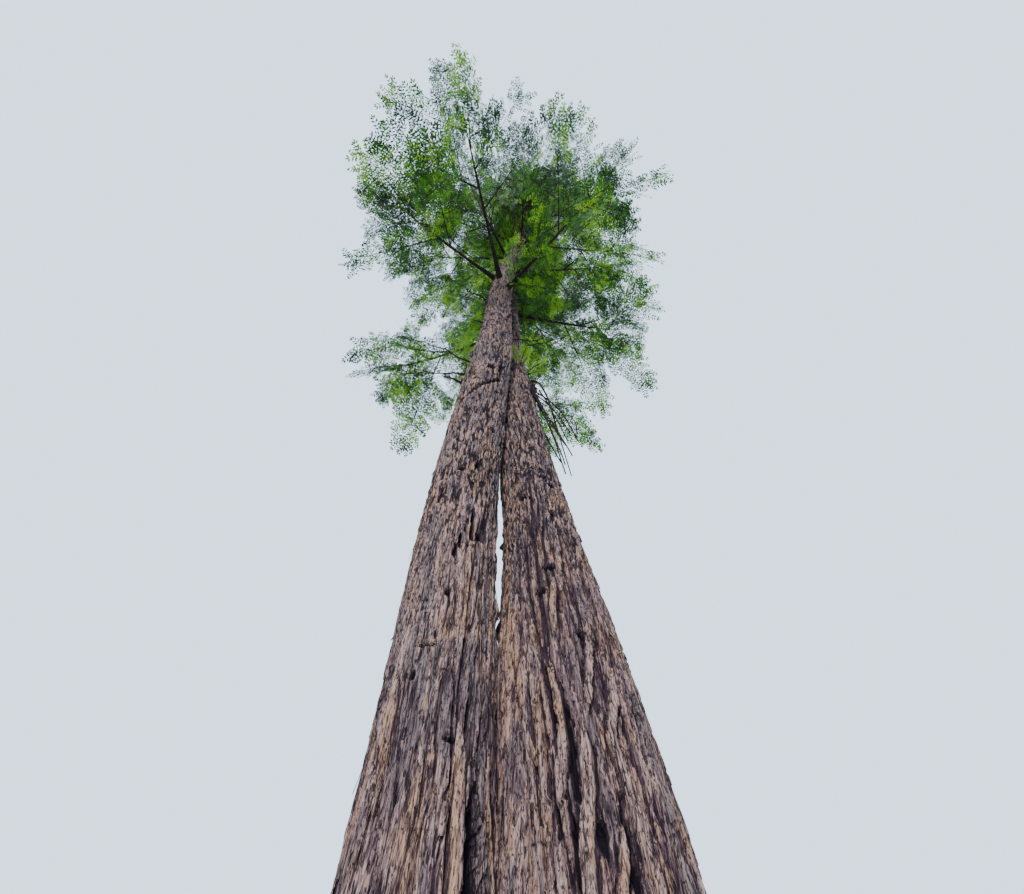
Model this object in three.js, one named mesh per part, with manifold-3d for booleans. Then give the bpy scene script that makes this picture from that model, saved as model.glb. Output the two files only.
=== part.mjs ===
// A twin-stemmed redwood tree: one root crown, two stems, their boughs and the masses of foliage.
// Millimetres, +Z up, +Y away from the viewer. The real tree is about 66 m tall. It is scaled
// evenly to 40 m here. The origin is the middle of the flat ground cut under the root crown.
import * as THREE from 'three';
import { mergeVertices } from 'three/addons/utils/BufferGeometryUtils.js';
import Module from 'manifold-3d';

// Sizes of the whole tree
const TREE_HEIGHT = 39990;
const CROTCH_HEIGHT = 2200; // where the two stems part
const LEADER_HEIGHT = 2700; // from a stem's flat tip to its highest spray
const SEED = 66;
const RANDOM_RANGE = 2147483647;

// Clearances
const SEAT_GAP = 0.3; // between two pieces that meet
const STEM_GAP = 15; // bark to bark where the stems pass close by each other
const LEAF_CLEARANCE = 20; // from a twig or spray to anything outside its own mass

const MESH_TOLERANCE = 0.05; // corners nearer than this become one

// Stems: middle and diameter at a few heights. The left stem stands in front, bends to the right
// at the top and is the taller one. The right stem is thicker at the foot and leans back behind it.
const LEFT_STEM = {
  lobes: 5,
  phase: 0.4,
  tip: TREE_HEIGHT - LEADER_HEIGHT,
  stations: [
    { height: 0, x: -560, y: 0, diameter: 1640 },
    { height: 700, x: -560, y: 0, diameter: 1240 },
    { height: 2200, x: -575, y: 0, diameter: 950 },
    { height: 5400, x: -612, y: 0, diameter: 875 },
    { height: 8600, x: -550, y: 0, diameter: 775 },
    { height: 12000, x: -385, y: -20, diameter: 725 },
    { height: 16000, x: -330, y: -40, diameter: 650 },
    { height: 20000, x: -80, y: -60, diameter: 590 },
    { height: 24000, x: 350, y: -80, diameter: 520 },
    { height: 29000, x: 700, y: -60, diameter: 380 },
    { height: 37300, x: 900, y: 0, diameter: 60 },
  ],
};
const RIGHT_STEM = {
  lobes: 7,
  phase: 1.3,
  tip: 33600,
  stations: [
    { height: 0, x: 600, y: 140, diameter: 2140 },
    { height: 700, x: 570, y: 150, diameter: 1680 },
    { height: 2200, x: 530, y: 180, diameter: 1255 },
    { height: 3400, x: 460, y: 250, diameter: 1180 },
    { height: 5100, x: 375, y: 360, diameter: 960 },
    { height: 6900, x: 260, y: 460, diameter: 820 },
    { height: 10000, x: 85, y: 650, diameter: 690 },
    { height: 13000, x: -20, y: 850, diameter: 620 },
    { height: 18000, x: -80, y: 1080, diameter: 530 },
    { height: 24000, x: 20, y: 1280, diameter: 410 },
    { height: 33600, x: 330, y: 1450, diameter: 60 },
  ],
};
const STEM_SIDES = 16;
const STEM_RINGS = 20;
const ROOT_RINGS = 5;
const RING_CROWDING = 1.15; // rings stand closer together towards the foot
const BUTTRESS_DEPTH = 0.11; // share of the radius, at the ground
const BUTTRESS_FADE = 1500; // height over which the buttresses die out
const RIB_DEPTH = 0.018; // share of the radius, all the way up

// Crown: tiers of boughs from its base to its top. The boughs of a tier leave the stem at heights
// spread over its depth. The twigs of a tier stand out from their boughs by its spread, and a
// tier with a bare share of nought grows straight on the stems.
const TIERS = [
  {
    height: 15400, depth: 2600, count: 6, reach: 5300, rise: 700,
    spread: 1900, bare: 0.42, girth: 250, twigs: 5,
  },
  {
    height: 19000, depth: 3400, count: 6, reach: 4900, rise: 900,
    spread: 1900, bare: 0.38, girth: 220, twigs: 5,
  },
  {
    height: 22900, depth: 3300, count: 6, reach: 4200, rise: 1200,
    spread: 1800, bare: 0.36, girth: 180, twigs: 5,
  },
  {
    height: 26700, depth: 3000, count: 5, reach: 3500, rise: 1500,
    spread: 1700, bare: 0.34, girth: 140, twigs: 5,
  },
  {
    height: 30300, depth: 2700, count: 4, reach: 2700, rise: 1500,
    spread: 1500, bare: 0, girth: 100, twigs: 5,
  },
  {
    height: 33500, depth: 2400, count: 4, reach: 1900, rise: 1200,
    spread: 1300, bare: 0, girth: 80, twigs: 4,
  },
];
// The lowest tier follows the photograph: the first bough reaches over the viewer, and the
// second one to the upper left.
const LOWEST_BOUGHS = [
  { direction: -103, height: 16500, reach: 5900 },
  { direction: -146, height: 17000, reach: 5300 },
  { direction: -45, height: 15600, reach: 5200 },
  { direction: 12, height: 17600, reach: 5300 },
  { direction: 78, height: 16100, reach: 5300 },
  { direction: 158, height: 15400, reach: 5200 },
];
const TIER_TURN = 97; // degrees from one tier's first bough to the next one's
const DIRECTION_SPREAD = 16; // degrees that a bough may stray
const REACH_SPREAD = 0.12; // share of its reach that a bough may stray
const FRONT_REACH = 8; // degrees past square to the side that the front stem still serves
const LEADER_SPREAD = 1250;
const LEADER_RADIUS = 26;
const LEADER_TWIGS = 5;
const LEADER_DROP = 1300; // how far below its own tip a stem's top mass begins
// A bough's curve: share of its reach outwards, and share of its rise. It sags before it rises.
const BOUGH_LINE = [
  [0, 0],
  [0.35, -0.12],
  [0.75, 0.3],
  [1, 1],
];
const BOUGH_SIDES = 5;
const BOUGH_SEGMENTS = 3;
const BOUGH_TIP_SHARE = 0.36; // thickness where the foliage begins, as a share of the girth
const AXIS_SIDES = 4;
const AXIS_SEGMENTS = 3;
const AXIS_SHARE = 0.95; // thickness of a mass's stem, as a share of the bough's end
const STEM_AXIS_SHARE = 0.8; // the same where it grows on the stem, as a share of the girth
const CROWN_BASE = 14200; // no spray hangs lower

// Foliage: each toothed blade stands for a whole feathery spray.
const TWIG_SHARE = 0.76; // length of a mass's first twig, as a share of the tier's spread
const TWIG_TAPER = 0.5; // how much shorter its last twig is
const FIRST_TWIG = 0.08; // where the twigs stand, as shares of the stem of the mass
const LAST_TWIG = 0.86;
const TRUNK_ROOM = 0.2; // share of a curve that stays bare where a mass grows on the trunk
const GOLDEN_ANGLE = 137.5; // degrees from one twig to the next, round the stem of the mass
const TWIG_STRAY = 40; // degrees that a twig may stray from that
const TWIG_SIDES = 3;
const TWIG_RADIUS = 34; // at its root, from where it tapers to a point inside its last spray
const TWIG_LEAN = 52; // degrees from the stem of the mass to its twigs
const TWIG_OVERLAP = 0.14; // how far a twig runs on inside its last spray, as a share of the spray
const BLADE_WIDTH = 0.56; // share of its length
const BLADE_THICKNESS = 0.045; // share of its length
const BLADE_MIDDLE = 0.42; // where it is thickest, as a share of its length
const BLADE_DROOP = 0.3; // share of its length that its tip hangs
const SPRAY_SHARE = 0.92; // length of a spray on a twig, as a share of the tier's spread
const END_SPRAY_SHARE = 0.88; // the same for the last spray of a mass
const SIDE_SPRAY_TURN = 58; // degrees from its twig
const SIDE_SPRAY_PLACE = 0.45; // where it stands, as a share of the twig's length
const SIDE_SPRAY_SHARE = 0.86; // length beside a twig's last spray
const BLADE_ROLL = 2.2; // radians between the two ways that it may be tilted
const TWIG_HANG = 0.3; // how much a twig and its side spray point down
const BLADE_TRIES = 5; // ways to turn a spray before it is left out
const TRY_TURN = 0.4; // radians more that each try may turn it
const TRY_SHORTENING = 0.1; // share of its length that each try takes off
// Half outline of a blade from root to tip: share of the length, share of the half width.
const BLADE_TEETH = [
  { along: 0.3, out: 0.92 },
  { along: 0.4, out: 0.42 },
  { along: 0.68, out: 0.85 },
];

// The dead limb that hangs down beside the right stem
const DEAD_LIMB = {
  points: [
    [85, 640, 10650],
    [560, 520, 10800],
    [700, 430, 9900],
    [760, 390, 8400],
    [850, 330, 6900],
  ],
  rootRadius: 52,
  tipRadius: 12,
  sides: 5,
  segments: 12,
};

const BARK = { color: '#6e564b', roughness: 0.95 };
const DEAD_WOOD = { color: '#3d312b', roughness: 0.95 };
const FOLIAGE = { color: '#41691f', roughness: 0.7 };

const UP = new THREE.Vector3(0, 0, 1);
const ACROSS = new THREE.Vector3(1, 0, 0);

const wasm = await Module();
wasm.setup();

// A seeded number from 0 to 1, the same on every run.
function makeRandom(seed) {
  let state = (seed * 48271) % RANDOM_RANGE;
  return () => {
    state = (state * 16807) % RANDOM_RANGE;
    return state / RANDOM_RANGE;
  };
}

function radians(degrees) {
  return (degrees * Math.PI) / 180;
}

// A closed geometry as a solid, and back.
function toSolid(geometry) {
  const bare = geometry.clone();
  bare.deleteAttribute('normal');
  bare.deleteAttribute('uv');
  const merged = mergeVertices(bare, 1e-3);
  const mesh = new wasm.Mesh({
    numProp: 3,
    vertProperties: merged.attributes.position.array,
    triVerts: new Uint32Array(merged.index.array),
  });
  return new wasm.Manifold(mesh);
}

function toGeometry(solid) {
  const mesh = solid.getMesh();
  const geometry = new THREE.BufferGeometry();
  geometry.setAttribute('position', new THREE.BufferAttribute(mesh.vertProperties, 3));
  geometry.setIndex(new THREE.BufferAttribute(mesh.triVerts, 1));
  const flat = geometry.toNonIndexed();
  flat.computeVertexNormals();
  return flat;
}

// The largest body of a solid: loose scraps are dropped and sealed hollows filled.
function largestBody(solid) {
  const bodies = solid.simplify(MESH_TOLERANCE).decompose();
  return bodies.reduce((best, body) => (body.volume() > best.volume() ? body : best));
}

// A smooth curve through the stations of a stem, for one of its measures.
function measureAt(stations, key, height) {
  const last = stations.length - 1;
  let i = 0;
  while (i < last - 1 && height > stations[i + 1].height) i += 1;
  const change = (a, b, name) => stations[b][name] - stations[a][name];
  const slope = (a, b) => change(a, b, key) / change(a, b, 'height');
  const span = change(i, i + 1, 'height');
  const t = (height - stations[i].height) / span;
  const startSlope = slope(Math.max(i - 1, 0), i + 1) * span;
  const endSlope = slope(i, Math.min(i + 2, last)) * span;
  const rise = change(i, i + 1, key);
  return (
    stations[i][key] +
    t * startSlope +
    t * t * (3 * rise - 2 * startSlope - endSlope) +
    t * t * t * (startSlope + endSlope - 2 * rise)
  );
}

function stemMiddle(stem, height) {
  return new THREE.Vector3(
    measureAt(stem.stations, 'x', height),
    measureAt(stem.stations, 'y', height),
    height,
  );
}

// The radius in one direction, with buttresses at the foot and shallow ribs above.
function stemRadius(stem, height, angle) {
  const plain = measureAt(stem.stations, 'diameter', height) / 2;
  const buttress = BUTTRESS_DEPTH * Math.exp(-height / BUTTRESS_FADE);
  const lobes = Math.sin(stem.lobes * angle + stem.phase) + 0.5 * Math.sin(3 * angle - stem.phase);
  return plain * (1 + (buttress + RIB_DEPTH) * lobes);
}

// A stretch of a stem: a cylinder whose rings are moved to the stem's middle and radius.
function stemStretch(stem, from, to, rings, extra = 0) {
  const geometry = new THREE.CylinderGeometry(1, 1, 1, STEM_SIDES, rings);
  const position = geometry.attributes.position;
  for (let i = 0; i < position.count; i += 1) {
    const share = position.getY(i) + 0.5;
    const height = from + (to - from) * share ** RING_CROWDING;
    const x = position.getX(i);
    const y = -position.getZ(i);
    const angle = Math.atan2(y, x);
    const radius = (stemRadius(stem, height, angle) + extra) * Math.hypot(x, y);
    const middle = stemMiddle(stem, height);
    position.setXYZ(i, middle.x + radius * Math.cos(angle), middle.y + radius * Math.sin(angle), height);
  }
  return toSolid(geometry);
}

// A limb along part of a curve: a cylinder whose rings are moved on to the curve.
function limb(curve, from, to, rootRadius, tipRadius, sides, segments) {
  const geometry = new THREE.CylinderGeometry(tipRadius / rootRadius, 1, 1, sides, segments);
  const position = geometry.attributes.position;
  for (let i = 0; i < position.count; i += 1) {
    const share = position.getY(i) + 0.5;
    const frame = frameAt(curve, from + (to - from) * share);
    const point = frame.point
      .clone()
      .addScaledVector(frame.side, rootRadius * position.getX(i))
      .addScaledVector(frame.under, rootRadius * position.getZ(i));
    position.setXYZ(i, point.x, point.y, point.z);
  }
  return toSolid(geometry);
}

// Point, direction, side and underside of a curve at one place along it.
function frameAt(curve, share) {
  const point = curve.getPoint(share);
  const along = curve.getTangent(share);
  const reference = Math.abs(along.z) > 0.9 ? ACROSS : UP;
  const side = reference.clone().cross(along).normalize();
  const under = side.clone().cross(along).normalize();
  return { point, along, side, under };
}

// A toothed blade: an eight-sided flat double cone whose rim is drawn out to the teeth.
function blade(root, along, side, length) {
  const geometry = new THREE.SphereGeometry(1, 8, 2);
  const position = geometry.attributes.position;
  const top = along.clone().cross(side).normalize();
  const hang = BLADE_DROOP * length * Math.hypot(along.x, along.y);
  const half = BLADE_TEETH.map((tooth) => [tooth.along, tooth.out]);
  const outline = [[1, 0], ...half.toReversed(), [0, 0], ...half.map(([a, o]) => [a, -o])];
  for (let i = 0; i < position.count; i += 1) {
    const x = position.getX(i);
    const y = -position.getZ(i);
    const isRim = Math.hypot(x, y) > 0.5;
    const corner = Math.round((Math.atan2(y, x) / (2 * Math.PI)) * 8 + 8) % 8;
    const [share, out] = isRim ? outline[corner] : [BLADE_MIDDLE, 0];
    const bent = Math.max(0, (share - BLADE_MIDDLE) / (1 - BLADE_MIDDLE));
    const lift = isRim ? 0 : Math.sign(position.getY(i)) * length * BLADE_THICKNESS * 0.5;
    const point = root
      .clone()
      .addScaledVector(along, share * length)
      .addScaledVector(side, out * length * BLADE_WIDTH * 0.5)
      .addScaledVector(top, lift)
      .addScaledVector(UP, -hang * bent * bent);
    position.setXYZ(i, point.x, point.y, point.z);
  }
  return toSolid(geometry);
}

// Everything that is in place, so that nothing new touches it.
const placed = [];

function place(owner, solid, isSpray = false) {
  placed.push({ owner, solid, isSpray, box: solid.boundingBox() });
}

function isNear(box, other) {
  return [0, 1, 2].every(
    (axis) =>
      box.min[axis] < other.max[axis] + LEAF_CLEARANCE &&
      other.min[axis] < box.max[axis] + LEAF_CLEARANCE,
  );
}

function isClear(owner, solid) {
  const box = solid.boundingBox();
  const inCrown = box.min[2] > CROWN_BASE && box.max[2] < TREE_HEIGHT + SEAT_GAP;
  return (
    inCrown &&
    placed.every(
      (other) =>
        (other.owner === owner && !other.isSpray) ||
        !isNear(box, other.box) ||
        solid.minGap(other.solid, LEAF_CLEARANCE) >= LEAF_CLEARANCE,
    )
  );
}

const tree = new THREE.Group();

function addNode(name, solid, finish) {
  const material = new THREE.MeshStandardMaterial({ ...finish, metalness: 0 });
  const mesh = new THREE.Mesh(toGeometry(solid), material);
  mesh.name = name;
  tree.add(mesh);
}

// Root crown and stems
function makeRootCrown() {
  const feet = [LEFT_STEM, RIGHT_STEM].map((stem) => stemStretch(stem, 0, CROTCH_HEIGHT, ROOT_RINGS));
  const solid = largestBody(feet[0].add(feet[1]));
  place('root_crown', solid);
  addNode('root_crown', solid, BARK);
}

// A stem above the crotch, thicker all round by some clearance.
function upperStem(stem, extra) {
  return stemStretch(stem, CROTCH_HEIGHT + SEAT_GAP, stem.tip, STEM_RINGS, extra);
}

function makeStems() {
  const left = upperStem(LEFT_STEM, 0);
  const right = upperStem(RIGHT_STEM, 0).subtract(upperStem(LEFT_STEM, STEM_GAP));
  for (const [name, solid] of [['stem_left', left], ['stem_right', largestBody(right)]]) {
    place(name, solid);
    addNode(name, solid, BARK);
  }
}

// The curve of a bough and its foliage from the middle of its stem, ending short of the reach by
// most of the last spray.
function boughCurve(stem, height, direction, fullReach, { rise, spread }) {
  const reach = fullReach - spread * END_SPRAY_SHARE * (1 - TWIG_OVERLAP);
  const start = stemMiddle(stem, height);
  const out = new THREE.Vector3(Math.cos(direction), Math.sin(direction), 0);
  const [, sag, turn, end] = BOUGH_LINE.map(([share, lift]) =>
    start.clone().addScaledVector(out, share * reach).addScaledVector(UP, lift * rise),
  );
  return new THREE.CubicBezierCurve3(start, sag, turn, end);
}

// The sprays of one twig, rooted on its middle line: one holds its end, and one stands part way
// along it, turned to one side.
function spraysOf(twigCurve, length, turn) {
  const end = endSpray(twigCurve, length);
  const middle = frameAt(twigCurve, SIDE_SPRAY_PLACE);
  const swing = middle.along.clone().applyAxisAngle(UP, turn * radians(SIDE_SPRAY_TURN));
  const along = swing.addScaledVector(UP, -TWIG_HANG);
  return [end, { root: middle.point, along, length: length * SIDE_SPRAY_SHARE, sweep: 1 }];
}

function endSpray(curve, length) {
  const { point, along } = frameAt(curve, 1);
  const root = point.clone().addScaledVector(along, -TWIG_OVERLAP * length);
  return { root, along, length, sweep: 0 };
}

function growSprays(owner, sprays, parts, random) {
  for (const spray of sprays) {
    for (let attempt = 0; attempt < BLADE_TRIES; attempt += 1) {
      const roll = (random() - 0.5) * (BLADE_ROLL + attempt * TRY_TURN);
      const sweep = spray.sweep * (random() - 0.5) * (1 + attempt) * TRY_TURN;
      const length = spray.length * (1 - attempt * TRY_SHORTENING);
      const along = spray.along.clone().applyAxisAngle(UP, sweep).normalize();
      const level = Math.abs(along.z) > 0.9 ? ACROSS.clone() : UP.clone().cross(along).normalize();
      const side = level.applyAxisAngle(along, roll);
      const solid = blade(spray.root, along, side, length);
      if (!isClear(owner, solid)) continue;
      parts.push(solid);
      place(owner, solid, true);
      break;
    }
  }
}

// The stem of a mass, on the outer part of a curve.
function makeAxis({ name, curve, from, rootRadius, seat }) {
  const whole = limb(curve, from, 1, rootRadius, 0, AXIS_SIDES, AXIS_SEGMENTS);
  const axis = seat ? largestBody(whole.subtract(seat)) : whole;
  place(name, axis);
  return axis;
}

// The line of one side twig: its place runs from nought at the mass's root to one at its tip, and
// its turn round the mass's stem is in degrees.
function twigLine(curve, from, spread, place, turn) {
  const inner = Math.max(from, TRUNK_ROOM);
  const frame = frameAt(curve, inner + (1 - inner) * (FIRST_TWIG + (LAST_TWIG - FIRST_TWIG) * place));
  const outward = frame.side
    .clone()
    .multiplyScalar(Math.cos(radians(turn)))
    .addScaledVector(frame.under, Math.sin(radians(turn)));
  const heading = frame.along
    .clone()
    .multiplyScalar(Math.cos(radians(TWIG_LEAN)))
    .addScaledVector(outward, Math.sin(radians(TWIG_LEAN)))
    .addScaledVector(UP, -TWIG_HANG)
    .normalize();
  const length = spread * TWIG_SHARE * (1 - TWIG_TAPER * place);
  return new THREE.LineCurve3(frame.point, frame.point.clone().addScaledVector(heading, length));
}

// One mass of foliage: twigs turned round its stem by the golden angle, each with its sprays.
function growMass({ name, curve, from, spread, twigs }, axis, random) {
  const turns = Array.from({ length: twigs }, (_, i) => i * GOLDEN_ANGLE + TWIG_STRAY * random());
  const parts = [axis];
  growSprays(name, [endSpray(curve, spread * END_SPRAY_SHARE)], parts, random);
  for (let i = 0; i < twigs; i += 1) {
    const twigCurve = twigLine(curve, from, spread, i / (twigs - 1), turns[i]);
    const twig = limb(twigCurve, 0, 1, TWIG_RADIUS, 0, TWIG_SIDES, 1);
    if (!isClear(name, twig)) continue;
    parts.push(twig);
    place(name, twig);
    growSprays(name, spraysOf(twigCurve, spread * SPRAY_SHARE, i % 2 ? 1 : -1), parts, random);
  }
  addNode(name, largestBody(wasm.Manifold.union(parts)), FOLIAGE);
}

// Direction, height and reach of one bough. Neighbours in a tier stand half its depth apart.
function boughSizes(tier, tierIndex, i, random) {
  if (tierIndex === 0) return LOWEST_BOUGHS[i];
  const stray = DIRECTION_SPREAD * (random() - 0.5);
  const direction = LOWEST_BOUGHS[0].direction + tierIndex * TIER_TURN + (i * 360) / tier.count + stray;
  const step = ((i % 2) * Math.ceil(tier.count / 2) + Math.floor(i / 2)) / tier.count;
  const height = tier.height + tier.depth * step;
  return { direction, height, reach: tier.reach * (1 + REACH_SPREAD * (random() - 0.5)) };
}

// The front stem carries the boughs that point to the viewer, the back stem the others.
function carrierOf(direction, height) {
  const facesFront = Math.sin(radians(direction)) < Math.sin(radians(FRONT_REACH));
  return facesFront || height > RIGHT_STEM.tip - LEADER_DROP ? LEFT_STEM : RIGHT_STEM;
}

function planBoughs() {
  const random = makeRandom(SEED);
  const plan = [];
  TIERS.forEach((tier, tierIndex) => {
    for (let i = 0; i < tier.count; i += 1) {
      const { direction, height, reach } = boughSizes(tier, tierIndex, i, random);
      const stem = carrierOf(direction, height);
      const curve = boughCurve(stem, height, radians(direction), reach, tier);
      plan.push({ tier, stem, curve, number: String(plan.length + 1).padStart(2, '0') });
    }
  });
  return plan;
}

function makeBoughs(plan) {
  for (const { tier, stem, curve, number } of plan) {
    if (!tier.bare) continue;
    const root = tier.girth / 2;
    const whole = limb(curve, 0, tier.bare, root, root * BOUGH_TIP_SHARE, BOUGH_SIDES, BOUGH_SEGMENTS);
    const solid = largestBody(whole.subtract(seats.get(stem)));
    place(`bough_${number}`, solid);
    addNode(`bough_${number}`, solid, BARK);
  }
}

function planMasses(boughs) {
  const masses = boughs.map(({ tier, stem, curve, number }) => ({
    name: `foliage_${number}`,
    curve,
    from: tier.bare ? tier.bare + SEAT_GAP / curve.getLength() : 0,
    rootRadius: (tier.girth / 2) * (tier.bare ? BOUGH_TIP_SHARE * AXIS_SHARE : STEM_AXIS_SHARE),
    spread: tier.spread,
    twigs: tier.twigs,
    seat: tier.bare ? null : seats.get(stem),
  }));
  return [planTop('foliage_left_top', LEFT_STEM), planTop('foliage_right_top', RIGHT_STEM), ...masses];
}

// The pointed top of a stem: a short mass that stands on the stem's flat tip.
function planTop(name, stem) {
  const start = stemMiddle(stem, stem.tip + SEAT_GAP);
  const lastSpray = LEADER_SPREAD * END_SPRAY_SHARE * (1 - TWIG_OVERLAP);
  const end = new THREE.Vector3(start.x, start.y, stem.tip + LEADER_HEIGHT - lastSpray);
  const curve = new THREE.LineCurve3(start, end);
  return { name, curve, from: 0, rootRadius: LEADER_RADIUS, spread: LEADER_SPREAD, twigs: LEADER_TWIGS };
}

// All stems of the masses are in place before the first spray grows.
function makeMasses(masses) {
  const axes = masses.map(makeAxis);
  masses.forEach((mass, i) => growMass(mass, axes[i], makeRandom(SEED + 1 + i)));
}

function makeDeadLimb() {
  const { points, rootRadius, tipRadius, sides, segments } = DEAD_LIMB;
  const curve = new THREE.CatmullRomCurve3(points.map((point) => new THREE.Vector3(...point)));
  const whole = limb(curve, 0, 1, rootRadius, tipRadius, sides, segments);
  const solid = largestBody(whole.subtract(seats.get(RIGHT_STEM)));
  place('dead_limb', solid);
  addNode('dead_limb', solid, DEAD_WOOD);
}

makeRootCrown();
makeStems();
// What cuts the limbs that sit against each stem
const seats = new Map([LEFT_STEM, RIGHT_STEM].map((stem) => [stem, upperStem(stem, SEAT_GAP)]));
const boughs = planBoughs();
makeBoughs(boughs);
makeDeadLimb();
makeMasses(planMasses(boughs));

export default tree;
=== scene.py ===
"""Looks of a twin-stemmed redwood tree: bark, boughs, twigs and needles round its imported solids.

Metres, +Z up, +Y away from the viewer, the origin in the middle of the flat ground cut.
"""

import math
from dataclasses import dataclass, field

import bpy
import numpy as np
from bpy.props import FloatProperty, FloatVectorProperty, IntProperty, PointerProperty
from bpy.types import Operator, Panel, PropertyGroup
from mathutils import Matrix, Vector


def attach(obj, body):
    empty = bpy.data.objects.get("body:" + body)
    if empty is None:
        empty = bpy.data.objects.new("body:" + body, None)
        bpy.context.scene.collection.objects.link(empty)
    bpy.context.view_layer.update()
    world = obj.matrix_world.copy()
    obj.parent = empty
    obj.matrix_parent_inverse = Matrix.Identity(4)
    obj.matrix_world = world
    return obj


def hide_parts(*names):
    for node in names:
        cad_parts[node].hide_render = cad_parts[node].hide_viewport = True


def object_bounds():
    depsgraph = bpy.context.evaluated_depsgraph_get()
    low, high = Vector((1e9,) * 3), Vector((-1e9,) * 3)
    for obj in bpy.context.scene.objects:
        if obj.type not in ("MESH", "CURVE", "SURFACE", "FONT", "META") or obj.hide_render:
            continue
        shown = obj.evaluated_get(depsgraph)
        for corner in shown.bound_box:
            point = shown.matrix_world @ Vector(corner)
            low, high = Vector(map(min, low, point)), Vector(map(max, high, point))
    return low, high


bl_info = {
    "name": "Twin-Stemmed Redwood",
    "version": (1, 0, 0),
    "blender": (4, 5, 0),
    "location": "3D View > Sidebar > Redwood",
    "description": "Builds the bark, boughs, twigs and needles of a twin-stemmed redwood tree",
    "category": "Add Mesh",
}

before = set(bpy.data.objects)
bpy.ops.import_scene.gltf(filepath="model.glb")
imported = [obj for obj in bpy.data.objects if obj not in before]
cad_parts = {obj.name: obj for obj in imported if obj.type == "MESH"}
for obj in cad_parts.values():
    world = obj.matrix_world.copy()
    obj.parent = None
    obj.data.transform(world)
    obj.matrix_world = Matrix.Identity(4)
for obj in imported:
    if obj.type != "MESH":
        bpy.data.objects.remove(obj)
cad_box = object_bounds()

# Sizes that the solids are made from, in metres
TREE_HEIGHT = 39.99
CROTCH_HEIGHT = 2.2
LEADER_HEIGHT = 2.7
SEED = 66
RANDOM_RANGE = 2147483647
RANDOM_SCRAMBLE = 48271
RANDOM_STEP = 16807


@dataclass(frozen=True)
class Stem:
    """One stem: its middle and diameter at a few heights, its lobes, and its ridges of bark."""

    name: str
    lobes: int
    phase: float
    tip: float
    ridges: int
    seed: int
    stations: tuple  # height, x, y, diameter


LEFT_STEM = Stem(
    name="left",
    lobes=5,
    phase=0.4,
    tip=TREE_HEIGHT - LEADER_HEIGHT,
    ridges=31,
    seed=11,
    stations=(
        (0.0, -0.560, 0.0, 1.640),
        (0.7, -0.560, 0.0, 1.240),
        (2.2, -0.575, 0.0, 0.950),
        (5.4, -0.612, 0.0, 0.875),
        (8.6, -0.550, 0.0, 0.775),
        (12.0, -0.385, -0.02, 0.725),
        (16.0, -0.330, -0.04, 0.650),
        (20.0, -0.080, -0.06, 0.590),
        (24.0, 0.350, -0.08, 0.520),
        (29.0, 0.700, -0.06, 0.380),
        (37.3, 0.900, 0.0, 0.060),
    ),
)
RIGHT_STEM = Stem(
    name="right",
    lobes=7,
    phase=1.3,
    tip=33.6,
    ridges=38,
    seed=57,
    stations=(
        (0.0, 0.600, 0.14, 2.140),
        (0.7, 0.570, 0.15, 1.680),
        (2.2, 0.530, 0.18, 1.255),
        (3.4, 0.460, 0.25, 1.180),
        (5.1, 0.375, 0.36, 0.960),
        (6.9, 0.260, 0.46, 0.820),
        (10.0, 0.085, 0.65, 0.690),
        (13.0, -0.020, 0.85, 0.620),
        (18.0, -0.080, 1.08, 0.530),
        (24.0, 0.020, 1.28, 0.410),
        (33.6, 0.330, 1.45, 0.060),
    ),
)
STEMS = (LEFT_STEM, RIGHT_STEM)
STATION_X = 1
STATION_Y = 2
STATION_DIAMETER = 3
BUTTRESS_DEPTH = 0.11
BUTTRESS_FADE = 1.5
RIB_DEPTH = 0.018


@dataclass(frozen=True)
class Tier:
    """A tier of boughs, from the crown's base upwards."""

    height: float
    depth: float
    count: int
    reach: float
    rise: float
    spread: float
    bare: float
    girth: float
    twigs: int


TIERS = (
    Tier(15.4, 2.6, 6, 5.3, 0.7, 1.9, 0.42, 0.25, 5),
    Tier(19.0, 3.4, 6, 4.9, 0.9, 1.9, 0.38, 0.22, 5),
    Tier(22.9, 3.3, 6, 4.2, 1.2, 1.8, 0.36, 0.18, 5),
    Tier(26.7, 3.0, 5, 3.5, 1.5, 1.7, 0.34, 0.14, 5),
    Tier(30.3, 2.7, 4, 2.7, 1.5, 1.5, 0.0, 0.10, 5),
    Tier(33.5, 2.4, 4, 1.9, 1.2, 1.3, 0.0, 0.08, 4),
)
LOWEST_BOUGHS = (  # direction in degrees, height, reach
    (-103, 16.5, 5.9),
    (-146, 17.0, 5.3),
    (-45, 15.6, 5.2),
    (12, 17.6, 5.3),
    (78, 16.1, 5.3),
    (158, 15.4, 5.2),
)
TIER_TURN = 97
DIRECTION_SPREAD = 16
REACH_SPREAD = 0.12
FRONT_REACH = 8
LEADER_SPREAD = 1.25
LEADER_RADIUS = 0.026
LEADER_TWIGS = 5
LEADER_DROP = 1.3
BOUGH_LINE = ((0, 0), (0.35, -0.12), (0.75, 0.3), (1, 1))  # share of the reach, share of the rise
BOUGH_TIP_SHARE = 0.36
STEM_AXIS_SHARE = 0.8
TWIG_SHARE = 0.76
TWIG_TAPER = 0.5
TWIG_PLACES = (0.08, 0.86)  # of the first twig and the last
TRUNK_ROOM = 0.2
GOLDEN_ANGLE = 137.5
TWIG_STRAY = 40
TWIG_LEAN = math.radians(52)
TWIG_HANG = 0.3
TWIG_RADIUS = 0.034
TWIG_OVERLAP = 0.14
FROND_WIDTH = 0.56
FROND_MIDDLE = 0.42
FROND_DROOP = 0.3
FROND_ROLL = 2.2
SPRAY_SHARE = 0.92
END_SPRAY_SHARE = 0.88
SIDE_SPRAY_TURN = math.radians(58)
SIDE_SPRAYS = ((0.45, 0.86, 1), (0.72, 0.66, -1))  # place on the twig, share of the length, side
SWEEP = 0.4

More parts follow.
